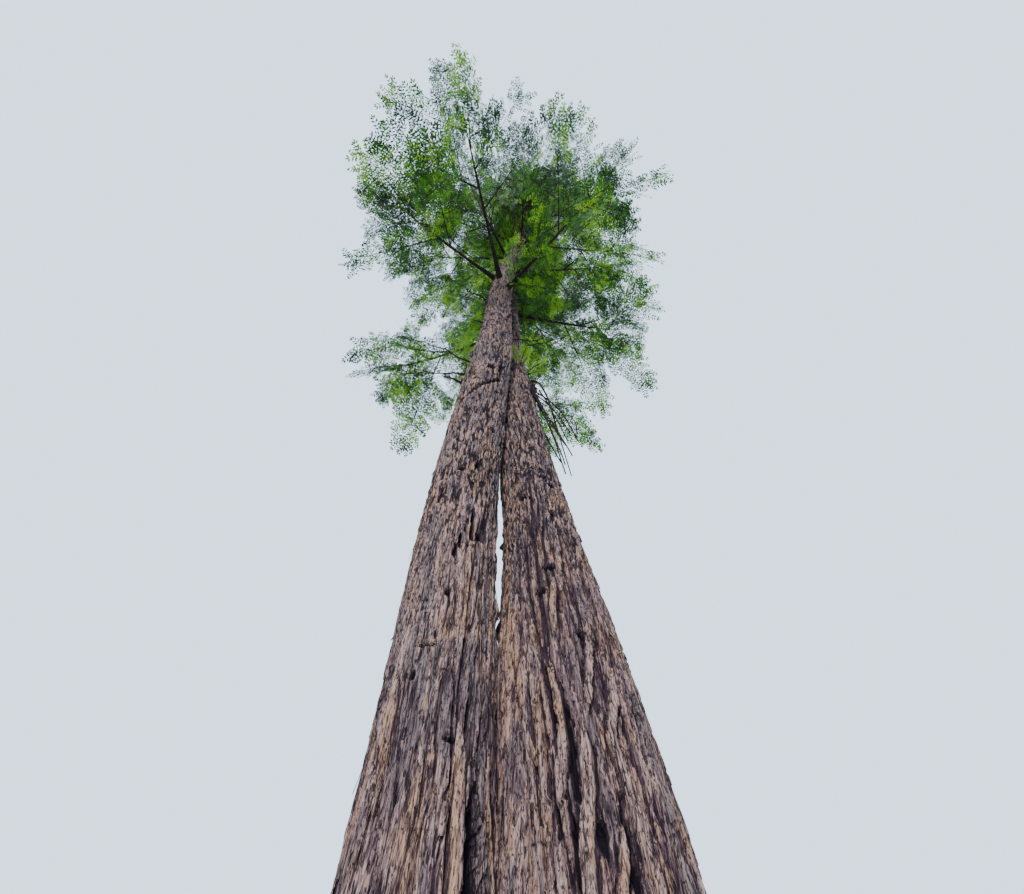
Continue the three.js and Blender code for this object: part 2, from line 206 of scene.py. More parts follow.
UP = np.array((0.0, 0.0, 1.0))
ACROSS = np.array((1.0, 0.0, 0.0))
STEEP = 0.9  # upward share of a direction from which it counts as steep


# Sizes and colours that a user may change


def colour_choice(name, description, *colour):
    """A colour that a user may change."""
    return FloatVectorProperty(
        name=name, description=description, subtype="COLOR", size=4, default=(*colour, 1.0)
    )


class BarkSettings(PropertyGroup):
    furrow_depth: FloatProperty(
        name="Furrow depth",
        description="How deep the widest furrows are cut at the foot of the stems",
        default=0.05, min=0.0, unit="LENGTH",
    )
    strip_lift: FloatProperty(
        name="Strip lift",
        description="How far the lower ends of the bark strips stand out",
        default=0.03, min=0.0, unit="LENGTH",
    )
    fibre_height: FloatProperty(
        name="Fibre height",
        description="Height of the fibres on the face of a ridge",
        default=0.006, min=0.0, unit="LENGTH",
    )
    flakes: IntProperty(
        name="Loose strips",
        description="Number of loose strips of bark on each stem",
        default=170, min=0,
    )
    ridge_colour: colour_choice("Ridges", "Weathered pinkish brown on the ridges", 0.100, 0.062, 0.074)
    pale_colour: colour_choice("Pale fibres", "Palest fibres on the ridges", 0.325, 0.230, 0.214)
    warm_colour: colour_choice("Warm fibres", "Orange brown fibres on fresher bark", 0.330, 0.208, 0.148)
    grey_colour: colour_choice("Grey patches", "Old grey bark", 0.160, 0.132, 0.138)
    # Partly painted shade: the furrows' own darker bark, with the purple of the sky-lit shade in them painted
    # in
    furrow_shade_colour: colour_choice("Furrows", "Deep purple brown in the furrows", 0.028, 0.017, 0.032)
    # Painted shade: the dark of the cracks, slits and small holes drawn on the bark
    crack_shade_colour: colour_choice("Cracks", "Dark colour of the cracks and small holes", 0.010, 0.007, 0.012)
    # Painted shade: black inside the knot holes and fissures, where no light reaches
    hollow_shade_colour: colour_choice("Hollows", "Black inside the knot holes and fissures", 0.007, 0.005, 0.012)


class BoughSettings(PropertyGroup):
    sides: IntProperty(
        name="Sides",
        description="Faces round a bough",
        default=14, min=5,
    )
    relief: FloatProperty(
        name="Relief",
        description="Depth of a bough's bark as a share of its radius",
        default=0.10, min=0.0, subtype="FACTOR",
    )
    # Partly painted shade: the boughs' own dark bark, made near black for their shaded undersides seen
    # against the sky
    colour: colour_choice("Bough bark", "Dark brown bark of the boughs and twigs", 0.009, 0.006, 0.005)
    twig_colour: colour_choice("Twigs", "Reddish brown of the young twigs", 0.018, 0.012, 0.008)
    dead_colour: colour_choice("Dead wood", "Grey brown of the dead branches", 0.014, 0.010, 0.009)


class NeedleSettings(PropertyGroup):
    branchlets: IntProperty(
        name="Branchlets",
        description="Branchlets on each frond",
        default=13, min=4,
    )
    sprays: IntProperty(
        name="Sprays",
        description="Sprays of needles on each branchlet",
        default=5, min=2,
    )
    pairs: IntProperty(
        name="Pairs of needles",
        description="Pairs of needles on each spray",
        default=4, min=3,
    )
    spray_share: FloatProperty(
        name="Spray length",
        description="Length of a spray as a share of its frond",
        default=0.195, min=0.05, subtype="FACTOR",
    )
    needle_share: FloatProperty(
        name="Needle length",
        description="Length of a needle as a share of its spray",
        default=0.42, min=0.05, subtype="FACTOR",
    )
    needle_width: FloatProperty(
        name="Needle width",
        description="Width of a needle as a share of its length",
        default=0.34, min=0.05, subtype="FACTOR",
    )
    # Painted shade: the darkest sprays, for the shade inside the crown
    deep_colour: colour_choice("Deep green", "Shaded needles inside the crown", 0.005, 0.032, 0.001)
    middle_colour: colour_choice("Middle green", "Most needles", 0.014, 0.082, 0.001)
    # Painted light: needles lit through from behind
    bright_colour: colour_choice("Bright green", "Needles with the light behind them", 0.055, 0.235, 0.001)
    # Painted light in the crown, where the brightest sprays take it; the low sprigs have it as their own
    # young colour
    yellow_colour: colour_choice("Yellow green", "Young needles at the edge of the crown", 0.22, 0.47, 0.003)
    # Painted haze: greyish green for the bright sky light seen through the thin top sprays
    hazy_colour: colour_choice("Hazy green", "Greyish green of the thin top sprays", 0.095, 0.165, 0.110)


class StageSettings(PropertyGroup):
    floor_colour: colour_choice("Floor", "Plain pale floor", 0.80, 0.79, 0.77)
    sky_colour: colour_choice("Surroundings", "Pale light from all round", 0.66, 0.83, 1.0)
    sky_strength: FloatProperty(
        name="Surroundings strength",
        description="Brightness of the light from all round",
        default=1.25, min=0.0,
    )
    backdrop_strength: FloatProperty(
        name="Backdrop strength",
        description="Brightness of the surroundings where they are seen behind the tree",
        default=2.3, min=0.0,
    )
    front_strength: FloatProperty(
        name="Front light",
        description="Strength of the wide soft light over the viewer's left shoulder",
        default=4.6, min=0.0,
    )
    back_strength: FloatProperty(
        name="Back light",
        description="Strength of the wide soft light behind the tree",
        default=2.0, min=0.0,
    )


# Seeded numbers and noise


def make_random(seed):
    """A function that returns a seeded number from 0 to 1 at each call, as the solids' source has."""
    state = (seed * RANDOM_SCRAMBLE) % RANDOM_RANGE

    def draw():
        nonlocal state
        state = (state * RANDOM_STEP) % RANDOM_RANGE
        return state / RANDOM_RANGE

    return draw


LATTICE_MIX = (0x9E3779B1, 0x85EBCA77, 0xC2B2AE3D)
LATTICE_MASK = 0x7FFFFFFF


def lattice(column, row, seed):
    """A seeded number from 0 to 1 for each cell of a grid."""
    first, second, third = LATTICE_MIX
    column = np.asarray(column, np.int64)
    row = np.asarray(row, np.int64)
    mixed = (column * first + row * second + seed * third) & LATTICE_MASK
    mixed = ((mixed ^ (mixed >> 15)) * second) & LATTICE_MASK
    mixed = ((mixed ^ (mixed >> 13)) * third) & LATTICE_MASK
    return (mixed ^ (mixed >> 16)) / LATTICE_MASK


def ease(share):
    """Runs smoothly from 0 to 1 as the share does."""
    share = np.clip(share, 0, 1)
    return share * share * (3 - 2 * share)


def between(ends, share):
    """The number at a share of the way from one to another."""
    start, end = ends
    return start + (end - start) * share


def climbed(value, ends):
    """How far a value has come from one number to another, from 0 to 1."""
    start, end = ends
    return ease((value - start) / (end - start))


def zeros_over(*places):
    return np.zeros(np.broadcast(*places).shape)


def noise(column, row, period, seed):
    """Smooth noise from about -1 to 1 that repeats after a whole number of columns."""
    left = np.floor(column)
    low = np.floor(row)
    x = column - left
    y = row - low
    total = zeros_over(x, y)
    for i in (0, 1):
        for j in (0, 1):
            turn = 2 * math.pi * lattice((left + i) % period, low + j, seed)
            slope = np.cos(turn) * (x - i) + np.sin(turn) * (y - j)
            weight_x = ease(x) if i else 1 - ease(x)
            weight_y = ease(y) if j else 1 - ease(y)
            total += slope * weight_x * weight_y
    return total * math.sqrt(2)


# Stems


def measure(stem, column, height):
    """One of a stem's measures at any height, on a smooth curve through its stations."""
    table = np.array(stem.stations)
    heights = table[:, 0]
    values = table[:, column]
    last = len(table) - 1
    i = np.searchsorted(heights[1:last], height)
    before = np.maximum(i - 1, 0)
    after = np.minimum(i + 2, last)
    span = heights[i + 1] - heights[i]
    t = (height - heights[i]) / span
    start = (values[i + 1] - values[before]) / (heights[i + 1] - heights[before]) * span
    end = (values[after] - values[i]) / (heights[after] - heights[i]) * span
    rise = values[i + 1] - values[i]
    bend = 3 * rise - 2 * start - end
    return values[i] + t * start + t**2 * bend + t**3 * (start + end - 2 * rise)


def stem_middle(stem, height):
    height = np.asarray(height, float)
    return np.stack((measure(stem, STATION_X, height), measure(stem, STATION_Y, height), height), -1)


def stem_radius(stem, height, angle):
    """The solid's radius in one direction: buttresses at the foot and shallow ribs above."""
    plain = measure(stem, STATION_DIAMETER, height) / 2
    buttress = BUTTRESS_DEPTH * np.exp(-height / BUTTRESS_FADE)
    lobes = np.sin(stem.lobes * angle + stem.phase) + 0.5 * np.sin(3 * angle - stem.phase)
    return plain * (1 + (buttress + RIB_DEPTH) * lobes)


def in_bark(stem, height, angle, share):
    """A place in one direction at a share of a stem's radius, and that direction."""
    out = np.array((math.cos(angle), math.sin(angle), 0.0))
    return stem_middle(stem, height) + out * stem_radius(stem, height, angle) * share, out


def directions_at(angle):
    return np.stack((np.cos(angle), np.sin(angle), np.zeros_like(angle)), -1)


# Bark relief


@dataclass(frozen=True)
class StripLayer:
    """Strips of bark that lie on each other: each has a ragged foot that stands out."""

    crowding: float  # strips for each ridge
    length: float
    share: float  # of the places that hold a strip
    lift: float  # share of the strip lift at the foot
    top: float  # the same at the top
    sway: float  # how far its strips wander, in strips
    edge: float  # softness of its sides, as a share of half its width


STRIP_LAYERS = (
    StripLayer(crowding=0.6, length=3.0, share=0.62, lift=0.55, top=0.2, sway=0.9, edge=0.12),
    StripLayer(crowding=1.1, length=1.4, share=0.55, lift=0.9, top=0.15, sway=1.6, edge=0.2),
    StripLayer(crowding=2.2, length=0.65, share=0.45, lift=0.6, top=0.05, sway=2.6, edge=0.3),
)


@dataclass(frozen=True)
class Furrow:
    """Furrows between ridges: they branch and join along the stem."""

    crowding: float
    length: float
    width: float
    depth: float  # share of the furrow depth
    share: float  # how much of their length is cut deep


FURROWS = (
    Furrow(crowding=0.5, length=3.6, width=0.10, depth=1.0, share=0.5),
    Furrow(crowding=1.1, length=1.8, width=0.12, depth=0.62, share=0.5),
    Furrow(crowding=2.2, length=0.9, width=0.17, depth=0.34, share=0.5),
    Furrow(crowding=3.6, length=0.45, width=0.24, depth=0.18, share=0.7),
)
RELIEF_RADIUS = 0.5  # radius at which the relief has its full depth
RELIEF_POWER = 0.75
FIBRE_CROWDING = 4
FIBRE_LENGTH = 0.2
# The bark's painted light and shade come from how far each place stands above the bark round it
CAVITY_COLUMNS = 5  # how far round and along the bark a place is compared with what lies by it
CAVITY_RINGS = 2
CAVITY_DEPTH = 0.012
PLATE_HEIGHTS = (4.5, 8.0)  # between these heights the bark turns to shorter and paler plates
PLATE_QUICKENING = 0.8  # how much faster its pattern changes along the stem there
PLATE_DEPTH = 0.62  # depth of the furrows between the plates, as a share of the depth below
PLATE_TONE = 0.72
PLATE_WARMTH = 0.30
PLATE_EVENNESS = 0.5


@dataclass(frozen=True)
class Hollow:
    """A knot hole or a fissure: where it is, its size, and its depth."""

    height: float
    direction: float  # degrees
    width: float
    tall: float
    depth: float
    rim: float = 0.0


HOLLOWS = {
    "left": (
        Hollow(3.16, -108, 0.030, 0.032, 0.08, 0.008),
        Hollow(3.94, -84, 0.030, 0.040, 0.06, 0.008),
        Hollow(3.41, -97, 0.075, 0.018, 0.06, 0.012),
        Hollow(5.87, -89, 0.050, 0.060, 0.07, 0.012),
        Hollow(4.72, -62, 0.032, 0.080, 0.07, 0.006),
        Hollow(4.99, -125, 0.040, 0.090, 0.06, 0.006),
        Hollow(2.71, -67, 0.050, 0.022, 0.06, 0.008),
        Hollow(1.85, -44, 0.062, 0.66, 0.15),
        Hollow(2.45, -37, 0.012, 0.15, 0.07),
        Hollow(2.85, -128, 0.014, 0.26, 0.08),
        Hollow(3.05, -114, 0.012, 0.24, 0.08),
        Hollow(2.60, -121, 0.020, 0.14, 0.08),
        Hollow(2.90, -54, 0.012, 0.24, 0.07),
        Hollow(4.45, -82, 0.020, 0.10, 0.07),
        Hollow(4.59, -77, 0.016, 0.10, 0.06),
        Hollow(4.73, -72, 0.014, 0.10, 0.06),
        Hollow(4.74, -50, 0.050, 0.06, 0.08),
        Hollow(4.92, -63, 0.024, 0.18, 0.09),
        Hollow(5.40, -116, 0.035, 0.14, 0.08),
        Hollow(5.85, -121, 0.030, 0.16, 0.07),
        Hollow(6.02, -64, 0.040, 0.12, 0.08),
        Hollow(9.40, -36, 0.045, 0.28, 0.10),
        Hollow(9.30, -68, 0.070, 0.10, 0.08),
        Hollow(7.10, -40, 0.050, 0.06, 0.08),
    ),
    "right": (
        Hollow(5.84, -113, 0.070, 0.050, 0.09, 0.010),
        Hollow(5.48, -74, 0.040, 0.060, 0.07),
        Hollow(6.16, -61, 0.060, 0.060, 0.08),
        Hollow(6.54, -93, 0.160, 0.022, 0.07),
        Hollow(6.31, -71, 0.090, 0.050, 0.07, 0.012),
        Hollow(4.46, -95, 0.065, 0.045, 0.08, 0.012),
        Hollow(4.14, -108, 0.055, 0.045, 0.08, 0.012),
        Hollow(3.61, -77, 0.050, 0.050, 0.08, 0.012),
        Hollow(3.28, -161, 0.020, 0.040, 0.06, 0.006),
        Hollow(2.42, -115, 0.018, 0.20, 0.10),
        Hollow(2.05, -107, 0.014, 0.36, 0.09),
        Hollow(2.62, -62, 0.018, 0.46, 0.09),
        Hollow(2.75, -101, 0.020, 0.30, 0.10),
        Hollow(2.08, -78.5, 0.026, 0.30, 0.12),
        Hollow(2.97, -110, 0.016, 0.26, 0.08),
        Hollow(2.50, -102, 0.020, 0.16, 0.09),
        Hollow(2.17, -92.5, 0.030, 0.10, 0.09),
        Hollow(2.35, -43, 0.020, 0.40, 0.10),
        Hollow(3.40, -36, 0.024, 0.60, 0.08),
        Hollow(1.95, -52, 0.024, 0.34, 0.10),
    ),
}


# Painted shade: the hollows and small holes darken the bark's colour
BLACK_DEPTH = 0.05  # depth from which a hollow is black inside
CUT_DEPTH = 0.05  # depth from which a hollow cuts through the strips
HOLLOW_SHADE = 8  # how fast a hollow darkens with its depth
RIBBON_FILL = 0.85  # how far a long strip fills the furrows under it
FACING_POWER = 4  # how narrowly a stem swells towards the other one
CREASE_ENDS = ((8.0, -121), (8.95, -35))  # height and direction in degrees, on the left stem
CREASE_PITS = 12
CREASE_PIT = (0.042, 0.055, 0.09)  # half width, half height, depth
PIT_STATION = 4  # of the stem, whose girth sets how many holes stand round it
PIT_SPACING = (0.15, 0.26)  # metres round the stem and along it
PIT_SHARE = 0.5
PIT_SIZES = (0.008, 0.024)
PIT_STRETCH = 2.4
PIT_DEPTH = 0.022
PIT_LAYERS = 3
LOW_PITS = 0.45  # how far they show below the plates


def crease_hollows(stem):
    """A line of shallow hollows slantwise across the left stem."""
    if stem is not LEFT_STEM:
        return []
    heights, directions = zip(*CREASE_ENDS)
    shares = [i / (CREASE_PITS - 1) for i in range(CREASE_PITS)]
    return [Hollow(between(heights, share), between(directions, share), *CREASE_PIT) for share in shares]


def pits(stem, around, height):
    """Small holes and dashes, from 0 to 1: at most one in each cell of a few grids."""
    wide = math.pi * stem.stations[PIT_STATION][STATION_DIAMETER]
    count = round(wide / PIT_SPACING[0])
    depth = zeros_over(around, height)
    for i in range(PIT_LAYERS):
        seed = stem.seed + 120 + 10 * i
        place = around * count + i / PIT_LAYERS
        column = np.floor(place)
        name = column % count
        row = height / PIT_SPACING[1] + 7 * lattice(name, 0, seed)
        number = np.floor(row)
        across = place - column - 0.3 - 0.4 * lattice(name, number, seed + 1)
        along = row - number - 0.3 - 0.4 * lattice(name, number, seed + 2)
        size = between(PIT_SIZES, lattice(name, number, seed + 3) ** 2)
        off = np.hypot(across * PIT_SPACING[0], along * PIT_SPACING[1] / PIT_STRETCH) / size
        present = lattice(name, number, seed + 4) < PIT_SHARE
        depth = np.maximum(depth, present * ease((1.4 - off) / 0.7))
    return depth


@dataclass(frozen=True)
class Ribbon:
    """A long strip that stands proud of the bark round it, with dark gaps along its sides: shallow grooves
    with painted shadow, wider on its right.
    """

    course: tuple  # height and direction in degrees, from its top down
    width: float
    lift: float
    tone: float
    warmth: float


RIBBONS = {
    "left": (
        Ribbon(
            ((2.95, -60), (2.50, -58.5), (2.30, -59), (1.96, -58.5), (1.2, -57)),
            0.080, 0.030, 0.88, 0.65,
        ),
        Ribbon(((2.74, -50), (2.50, -44), (2.30, -36.5), (2.10, -32), (1.96, -30)), 0.045, 0.030, 0.55, 0.35),
        Ribbon(((2.80, -27), (2.38, -25), (2.15, -22), (1.6, -20)), 0.050, 0.026, 0.97, 0.80),
        Ribbon(((3.30, -74), (2.90, -74), (2.50, -71), (2.3, -72)), 0.100, 0.010, 0.40, 0.02),
        Ribbon(((3.30, -127), (2.95, -124), (2.60, -120), (2.30, -118)), 0.090, 0.020, 0.80, 0.65),
    ),
    "right": (
        Ribbon(
            ((3.43, -111), (3.01, -106), (2.84, -102.5), (2.61, -108), (2.41, -112), (2.25, -116)),
            0.090, 0.042, 0.92, 0.75,
        ),
        Ribbon(
            ((3.60, -128), (2.91, -130.5), (2.46, -131), (2.14, -128), (1.96, -126.5), (1.5, -124)),
            0.026, 0.022, 1.0, 0.20,
        ),
        Ribbon(
            ((3.40, -59), (3.03, -66), (2.74, -75), (2.54, -73), (2.37, -71), (1.94, -71), (1.3, -73)),
            0.075, 0.040, 0.90, 0.55,
        ),
        Ribbon(((3.80, -70), (3.50, -73), (3.19, -80), (2.88, -88)), 0.070, 0.022, 0.85, 0.70),
        Ribbon(((3.20, -120), (2.87, -120), (2.57, -122), (2.30, -123.5)), 0.055, 0.030, 0.80, 0.70),
        Ribbon(
            ((2.93, -91.5), (2.67, -93), (2.44, -95), (2.15, -101), (1.93, -103), (1.4, -104)),
            0.100, 0.034, 0.85, 0.60,
        ),
        Ribbon(((2.33, -115), (2.17, -117), (1.96, -114.5), (1.5, -112)), 0.085, 0.030, 0.70, 0.65),
        Ribbon(((2.27, -80), (2.04, -84.5), (1.93, -88), (1.6, -90)), 0.065, 0.034, 0.90, 0.85),
        Ribbon(((4.30, -92), (3.90, -98), (3.60, -100)), 0.070, 0.034, 0.80, 0.65),
        Ribbon(((5.20, -75), (4.70, -82), (4.30, -86)), 0.070, 0.030, 0.80, 0.55),
        Ribbon(((3.10, -48), (2.60, -53), (2.10, -55), (1.4, -56)), 0.070, 0.036, 0.70, 0.35),
    ),
}
RIBBON_EDGE = 0.25  # softness of a long strip's sides, as a share of half its width
RIBBON_RAGGED = 0.18
# Painted shadow: the dark gap on a strip's right is wider, as cast by light from the left
LEFT_SHADOW_GAP = 0.014  # widths of the dark gaps beside it
RIGHT_SHADOW_GAP = 0.024


@dataclass(frozen=True)
class Burl:
    """A lump that stands out of the bark."""

    height: float
    direction: float  # degrees
    size: float
    lift: float
    crust: float = 0.0  # how black it is


BURLS = {
    "left": (
        Burl(9.15, -158, 0.16, 0.06),
        Burl(10.3, -150, 0.18, 0.07),
        Burl(4.14, 5, 0.20, 0.035),
        Burl(13.6, -100, 0.16, 0.03),
        Burl(18.3, -62, 0.18, 0.03, 0.6),
        Burl(19.6, -125, 0.16, 0.03),
        Burl(21.2, -70, 0.18, 0.03, 0.8),
        Burl(22.4, -112, 0.14, 0.025),
        Burl(24.0, -85, 0.16, 0.025, 0.6),
    ),
    "right": (
        Burl(10.38, -15, 0.24, 0.12, 1.0),
        Burl(10.05, -38, 0.16, 0.05, 0.6),
        Burl(5.56, -152, 0.10, 0.04, 0.9),
        Burl(5.40, 174, 0.09, 0.055),
        Burl(4.14, 174, 0.20, 0.035),
        Burl(6.31, -71, 0.16, 0.03),
        Burl(4.46, -95, 0.14, 0.02),
        Burl(15.5, -30, 0.16, 0.05),
    ),
}
BURL_LUMPS = 0.35


@dataclass(frozen=True)
class Face:
    """One side of a stem, where the furrows are shallower or deeper than elsewhere."""

    direction: float  # degrees
    width: float  # degrees to either side
    depth: float


FACES = {
    "left": (Face(-105, 42, 0.55), Face(-35, 25, 1.3), Face(-170, 30, 1.3)),
    "right": (Face(-150, 18, 0.25), Face(-112, 16, 1.35), Face(-55, 30, 1.45)),
}
# Height, and how much paler the bark is painted there: painted light where a stem catches more light, painted
# shade where it catches less
PAINTED_STEM_LIGHT = {
    "left": ((3.3, 0.0), (3.8, 0.4), (9.0, 0.4), (12.0, 0.2)),
    "right": ((2.6, 0.0), (3.6, -0.22), (4.7, -0.22), (5.4, 0.15), (12.0, 0.1)),
}
# Height, and how far each stem swells towards the other one, to close or open the gap between them
SEAM_COURSE = (
    (3.3, 0.036), (3.7, 0.018), (3.95, -0.004), (4.3, -0.008), (6.0, -0.010), (6.6, 0.014),
    (7.6, 0.050), (10.6, 0.070), (12.5, 0.0),
)
SEAM_DIRECTIONS = {"left": (0, 0), "right": (180, 228)}  # degrees, at the heights below
SEAM_TURN = (5.5, 9.0)


def turn_from(around, direction):
    """Angle from a direction in degrees to places round a stem, within half a turn."""
    return (2 * math.pi * around - np.radians(direction) + math.pi) % (2 * math.pi) - math.pi


def plated(height):
    """How far the bark has turned to plates, from 0 to 1."""
    return climbed(height, PLATE_HEIGHTS)


def pattern_height(height):
    """Height as the bark's pattern counts it: its strips and furrows are shorter higher up."""
    return height + PLATE_QUICKENING * np.maximum(height - PLATE_HEIGHTS[0], 0)


def strip_layer(layer, stem, around, height, seed):
    """Lift of one layer of strips, from 0 to 1, and each strip's tone and warmth."""
    count = round(layer.crowding * stem.ridges)
    sway = layer.sway * noise(around * 5, height / 2.2, 5, seed)
    wiggle = 0.3 * noise(around * 17, height / 0.5, 17, seed + 1)
    ragged = 0.11 * noise(around * count * 2, height / 0.11, count * 2, seed + 2)
    place = around * count + sway + wiggle + ragged
    column = np.floor(place)
    across = np.abs(2 * (place - column) - 1)
    column = column % count
    torn = 0.11 * noise(around * count * 5, height / 0.15, count * 5, seed + 3)
    step = height / layer.length + lattice(column, 0, seed + 4) * 7 + torn
    number = np.floor(step)
    along = step - number
    present = lattice(column, number, seed + 5) < layer.share
    width = 0.66 + 0.34 * lattice(column, number, seed + 6)
    taper = 1 - 0.4 * along**3
    body = ease((width * taper - across) / layer.edge) * present
    foot = ease(along / 0.02)
    thickness = layer.top + (layer.lift - layer.top) * (1 - along)
    return body * foot * thickness, lattice(column, number, seed + 7), lattice(column, number, seed + 8)


def blurred(values, columns, rings):
    """Values averaged over their neighbours round the stem and along it."""
    total = np.zeros_like(values)
    for shift in range(-columns, columns + 1):
        total += np.roll(values, shift, axis=1)
    padded = np.pad(total, ((rings, rings), (0, 0)), mode="edge")
    rows = [padded[i : i + len(values)] for i in range(2 * rings + 1)]
    return sum(rows) / ((2 * columns + 1) * (2 * rings + 1))


def furrow_depth(stem, around, height, sway):
    """How deep the bark is furrowed, from 0 to 1, deeper and wider on some faces."""
    depth = zeros_over(around, height)
    strength = np.ones_like(depth)
    for side in FACES[stem.name]:
        turn = turn_from(around, side.direction)
        strength *= 1 + (side.depth - 1) * np.exp(-((turn / math.radians(side.width)) ** 2))
    for i, furrow in enumerate(FURROWS):
        count = round(furrow.crowding * stem.ridges)
        seed = stem.seed + 20 + 3 * i
        ragged = 0.14 * noise(around * count * 2, height / (0.2 * furrow.length), count * 2, seed)
        place = around * count + sway * furrow.crowding + ragged
        swell = noise(place, height / furrow.length, count, seed + 1)
        cut = 1 - ease(np.abs(swell) / (furrow.width * strength))
        patch = noise(around * count / 2, height / (1.3 * furrow.length), max(count // 2, 1), seed + 2)
        depth = np.maximum(depth, cut * furrow.depth * ease((patch + furrow.share) / 0.5))
    return np.clip(depth * strength, 0, 1.3)


def hollows(stem, around, height):
    """Depth of the knot holes and fissures, and the height of the swellings round them."""
    radius = measure(stem, STATION_DIAMETER, height) / 2
    hollow = zeros_over(around, height)
    rim = np.zeros_like(hollow)
    count = stem.ridges * 4
    ragged = 1 + 0.45 * noise(around * count, height / 0.09, count, stem.seed + 91)
    for pit in (*HOLLOWS[stem.name], *crease_hollows(stem)):
        turn = turn_from(around, pit.direction)
        off = np.hypot(turn * radius / pit.width, (height - pit.height) / pit.tall) * ragged
        hollow = np.maximum(hollow, pit.depth * ease((1.25 - off) / 0.7))
        rim = np.maximum(rim, pit.rim * np.exp(-((off - 1.5) ** 2) / 0.2))
    return hollow, rim


def burls(stem, around, height):
    """Lift of the lumps that stand out of the bark, and how black they are."""
    radius = measure(stem, STATION_DIAMETER, height) / 2
    count = stem.ridges * 2
    uneven = 1 + BURL_LUMPS * noise(around * count, height / 0.12, count, stem.seed + 97)
    lift, crust = zeros_over(around, height), zeros_over(around, height)
    for burl in BURLS[stem.name]:
        turn = turn_from(around, burl.direction)
        off = np.hypot(turn * radius, height - burl.height) / (burl.size / 2)
        lump = ease((1.6 - off) / 1.4)
        lift = np.maximum(lift, burl.lift * lump * uneven)
        crust = np.maximum(crust, burl.crust * ease(2.5 * lump))
    return lift, crust


def ribbons(stem, around, height):
    """Lift of the long strips, the dark gaps of painted shadow beside them, and their tone and warmth."""
    radius = measure(stem, STATION_DIAMETER, height) / 2
    lift, gap, tone, warmth = (zeros_over(around, height) for _ in range(4))
    count = stem.ridges * 6
    ragged = 1 + RIBBON_RAGGED * noise(around * count, height / 0.12, count, stem.seed + 95)
    for ribbon in RIBBONS[stem.name]:
        heights, directions = np.array(ribbon.course[::-1]).T
        turn = turn_from(around, np.interp(height, heights, directions))
        along = np.clip((height - heights[0]) / (heights[-1] - heights[0]), 0, 1)
        taper = np.clip(5 * (1 - along), 0, 1) * np.clip(0.2 + 5 * along, 0, 1) * (along > 0)
        across = np.abs(turn) * radius / (ribbon.width / 2) * ragged
        body = ease((taper - across) / RIBBON_EDGE) * (along > 0)
        beside = np.where(turn > 0, RIGHT_SHADOW_GAP, LEFT_SHADOW_GAP) / (ribbon.width / 2) * np.sin(math.pi * along)
        shade = ease((taper + beside - across) / 0.3) * ease(5 * np.sin(math.pi * along)) * (1 - body)
        gap = np.maximum(gap * (1 - body), shade)
        lift = np.where(body > 0, body * ribbon.lift * (1 - 0.5 * along), lift)
        tone = np.where(body > 0.5, ribbon.tone, tone)
        warmth = np.where(body > 0.5, ribbon.warmth, warmth)
    return lift, gap, tone, warmth


@dataclass
class Relief:
    """The bark at places on a stem: how far it stands out, its depth, its tone and its warmth."""

    offset: np.ndarray
    # depth also darkens the colour: painted shade in the furrows, hollows and small holes
    depth: np.ndarray  # up to 1 in the furrows, and from there to 2 where it is black
    tone: np.ndarray
    warmth: np.ndarray

    def rows(self, kept):
        return Relief(self.offset[kept], self.depth[kept], self.tone[kept], self.warmth[kept])


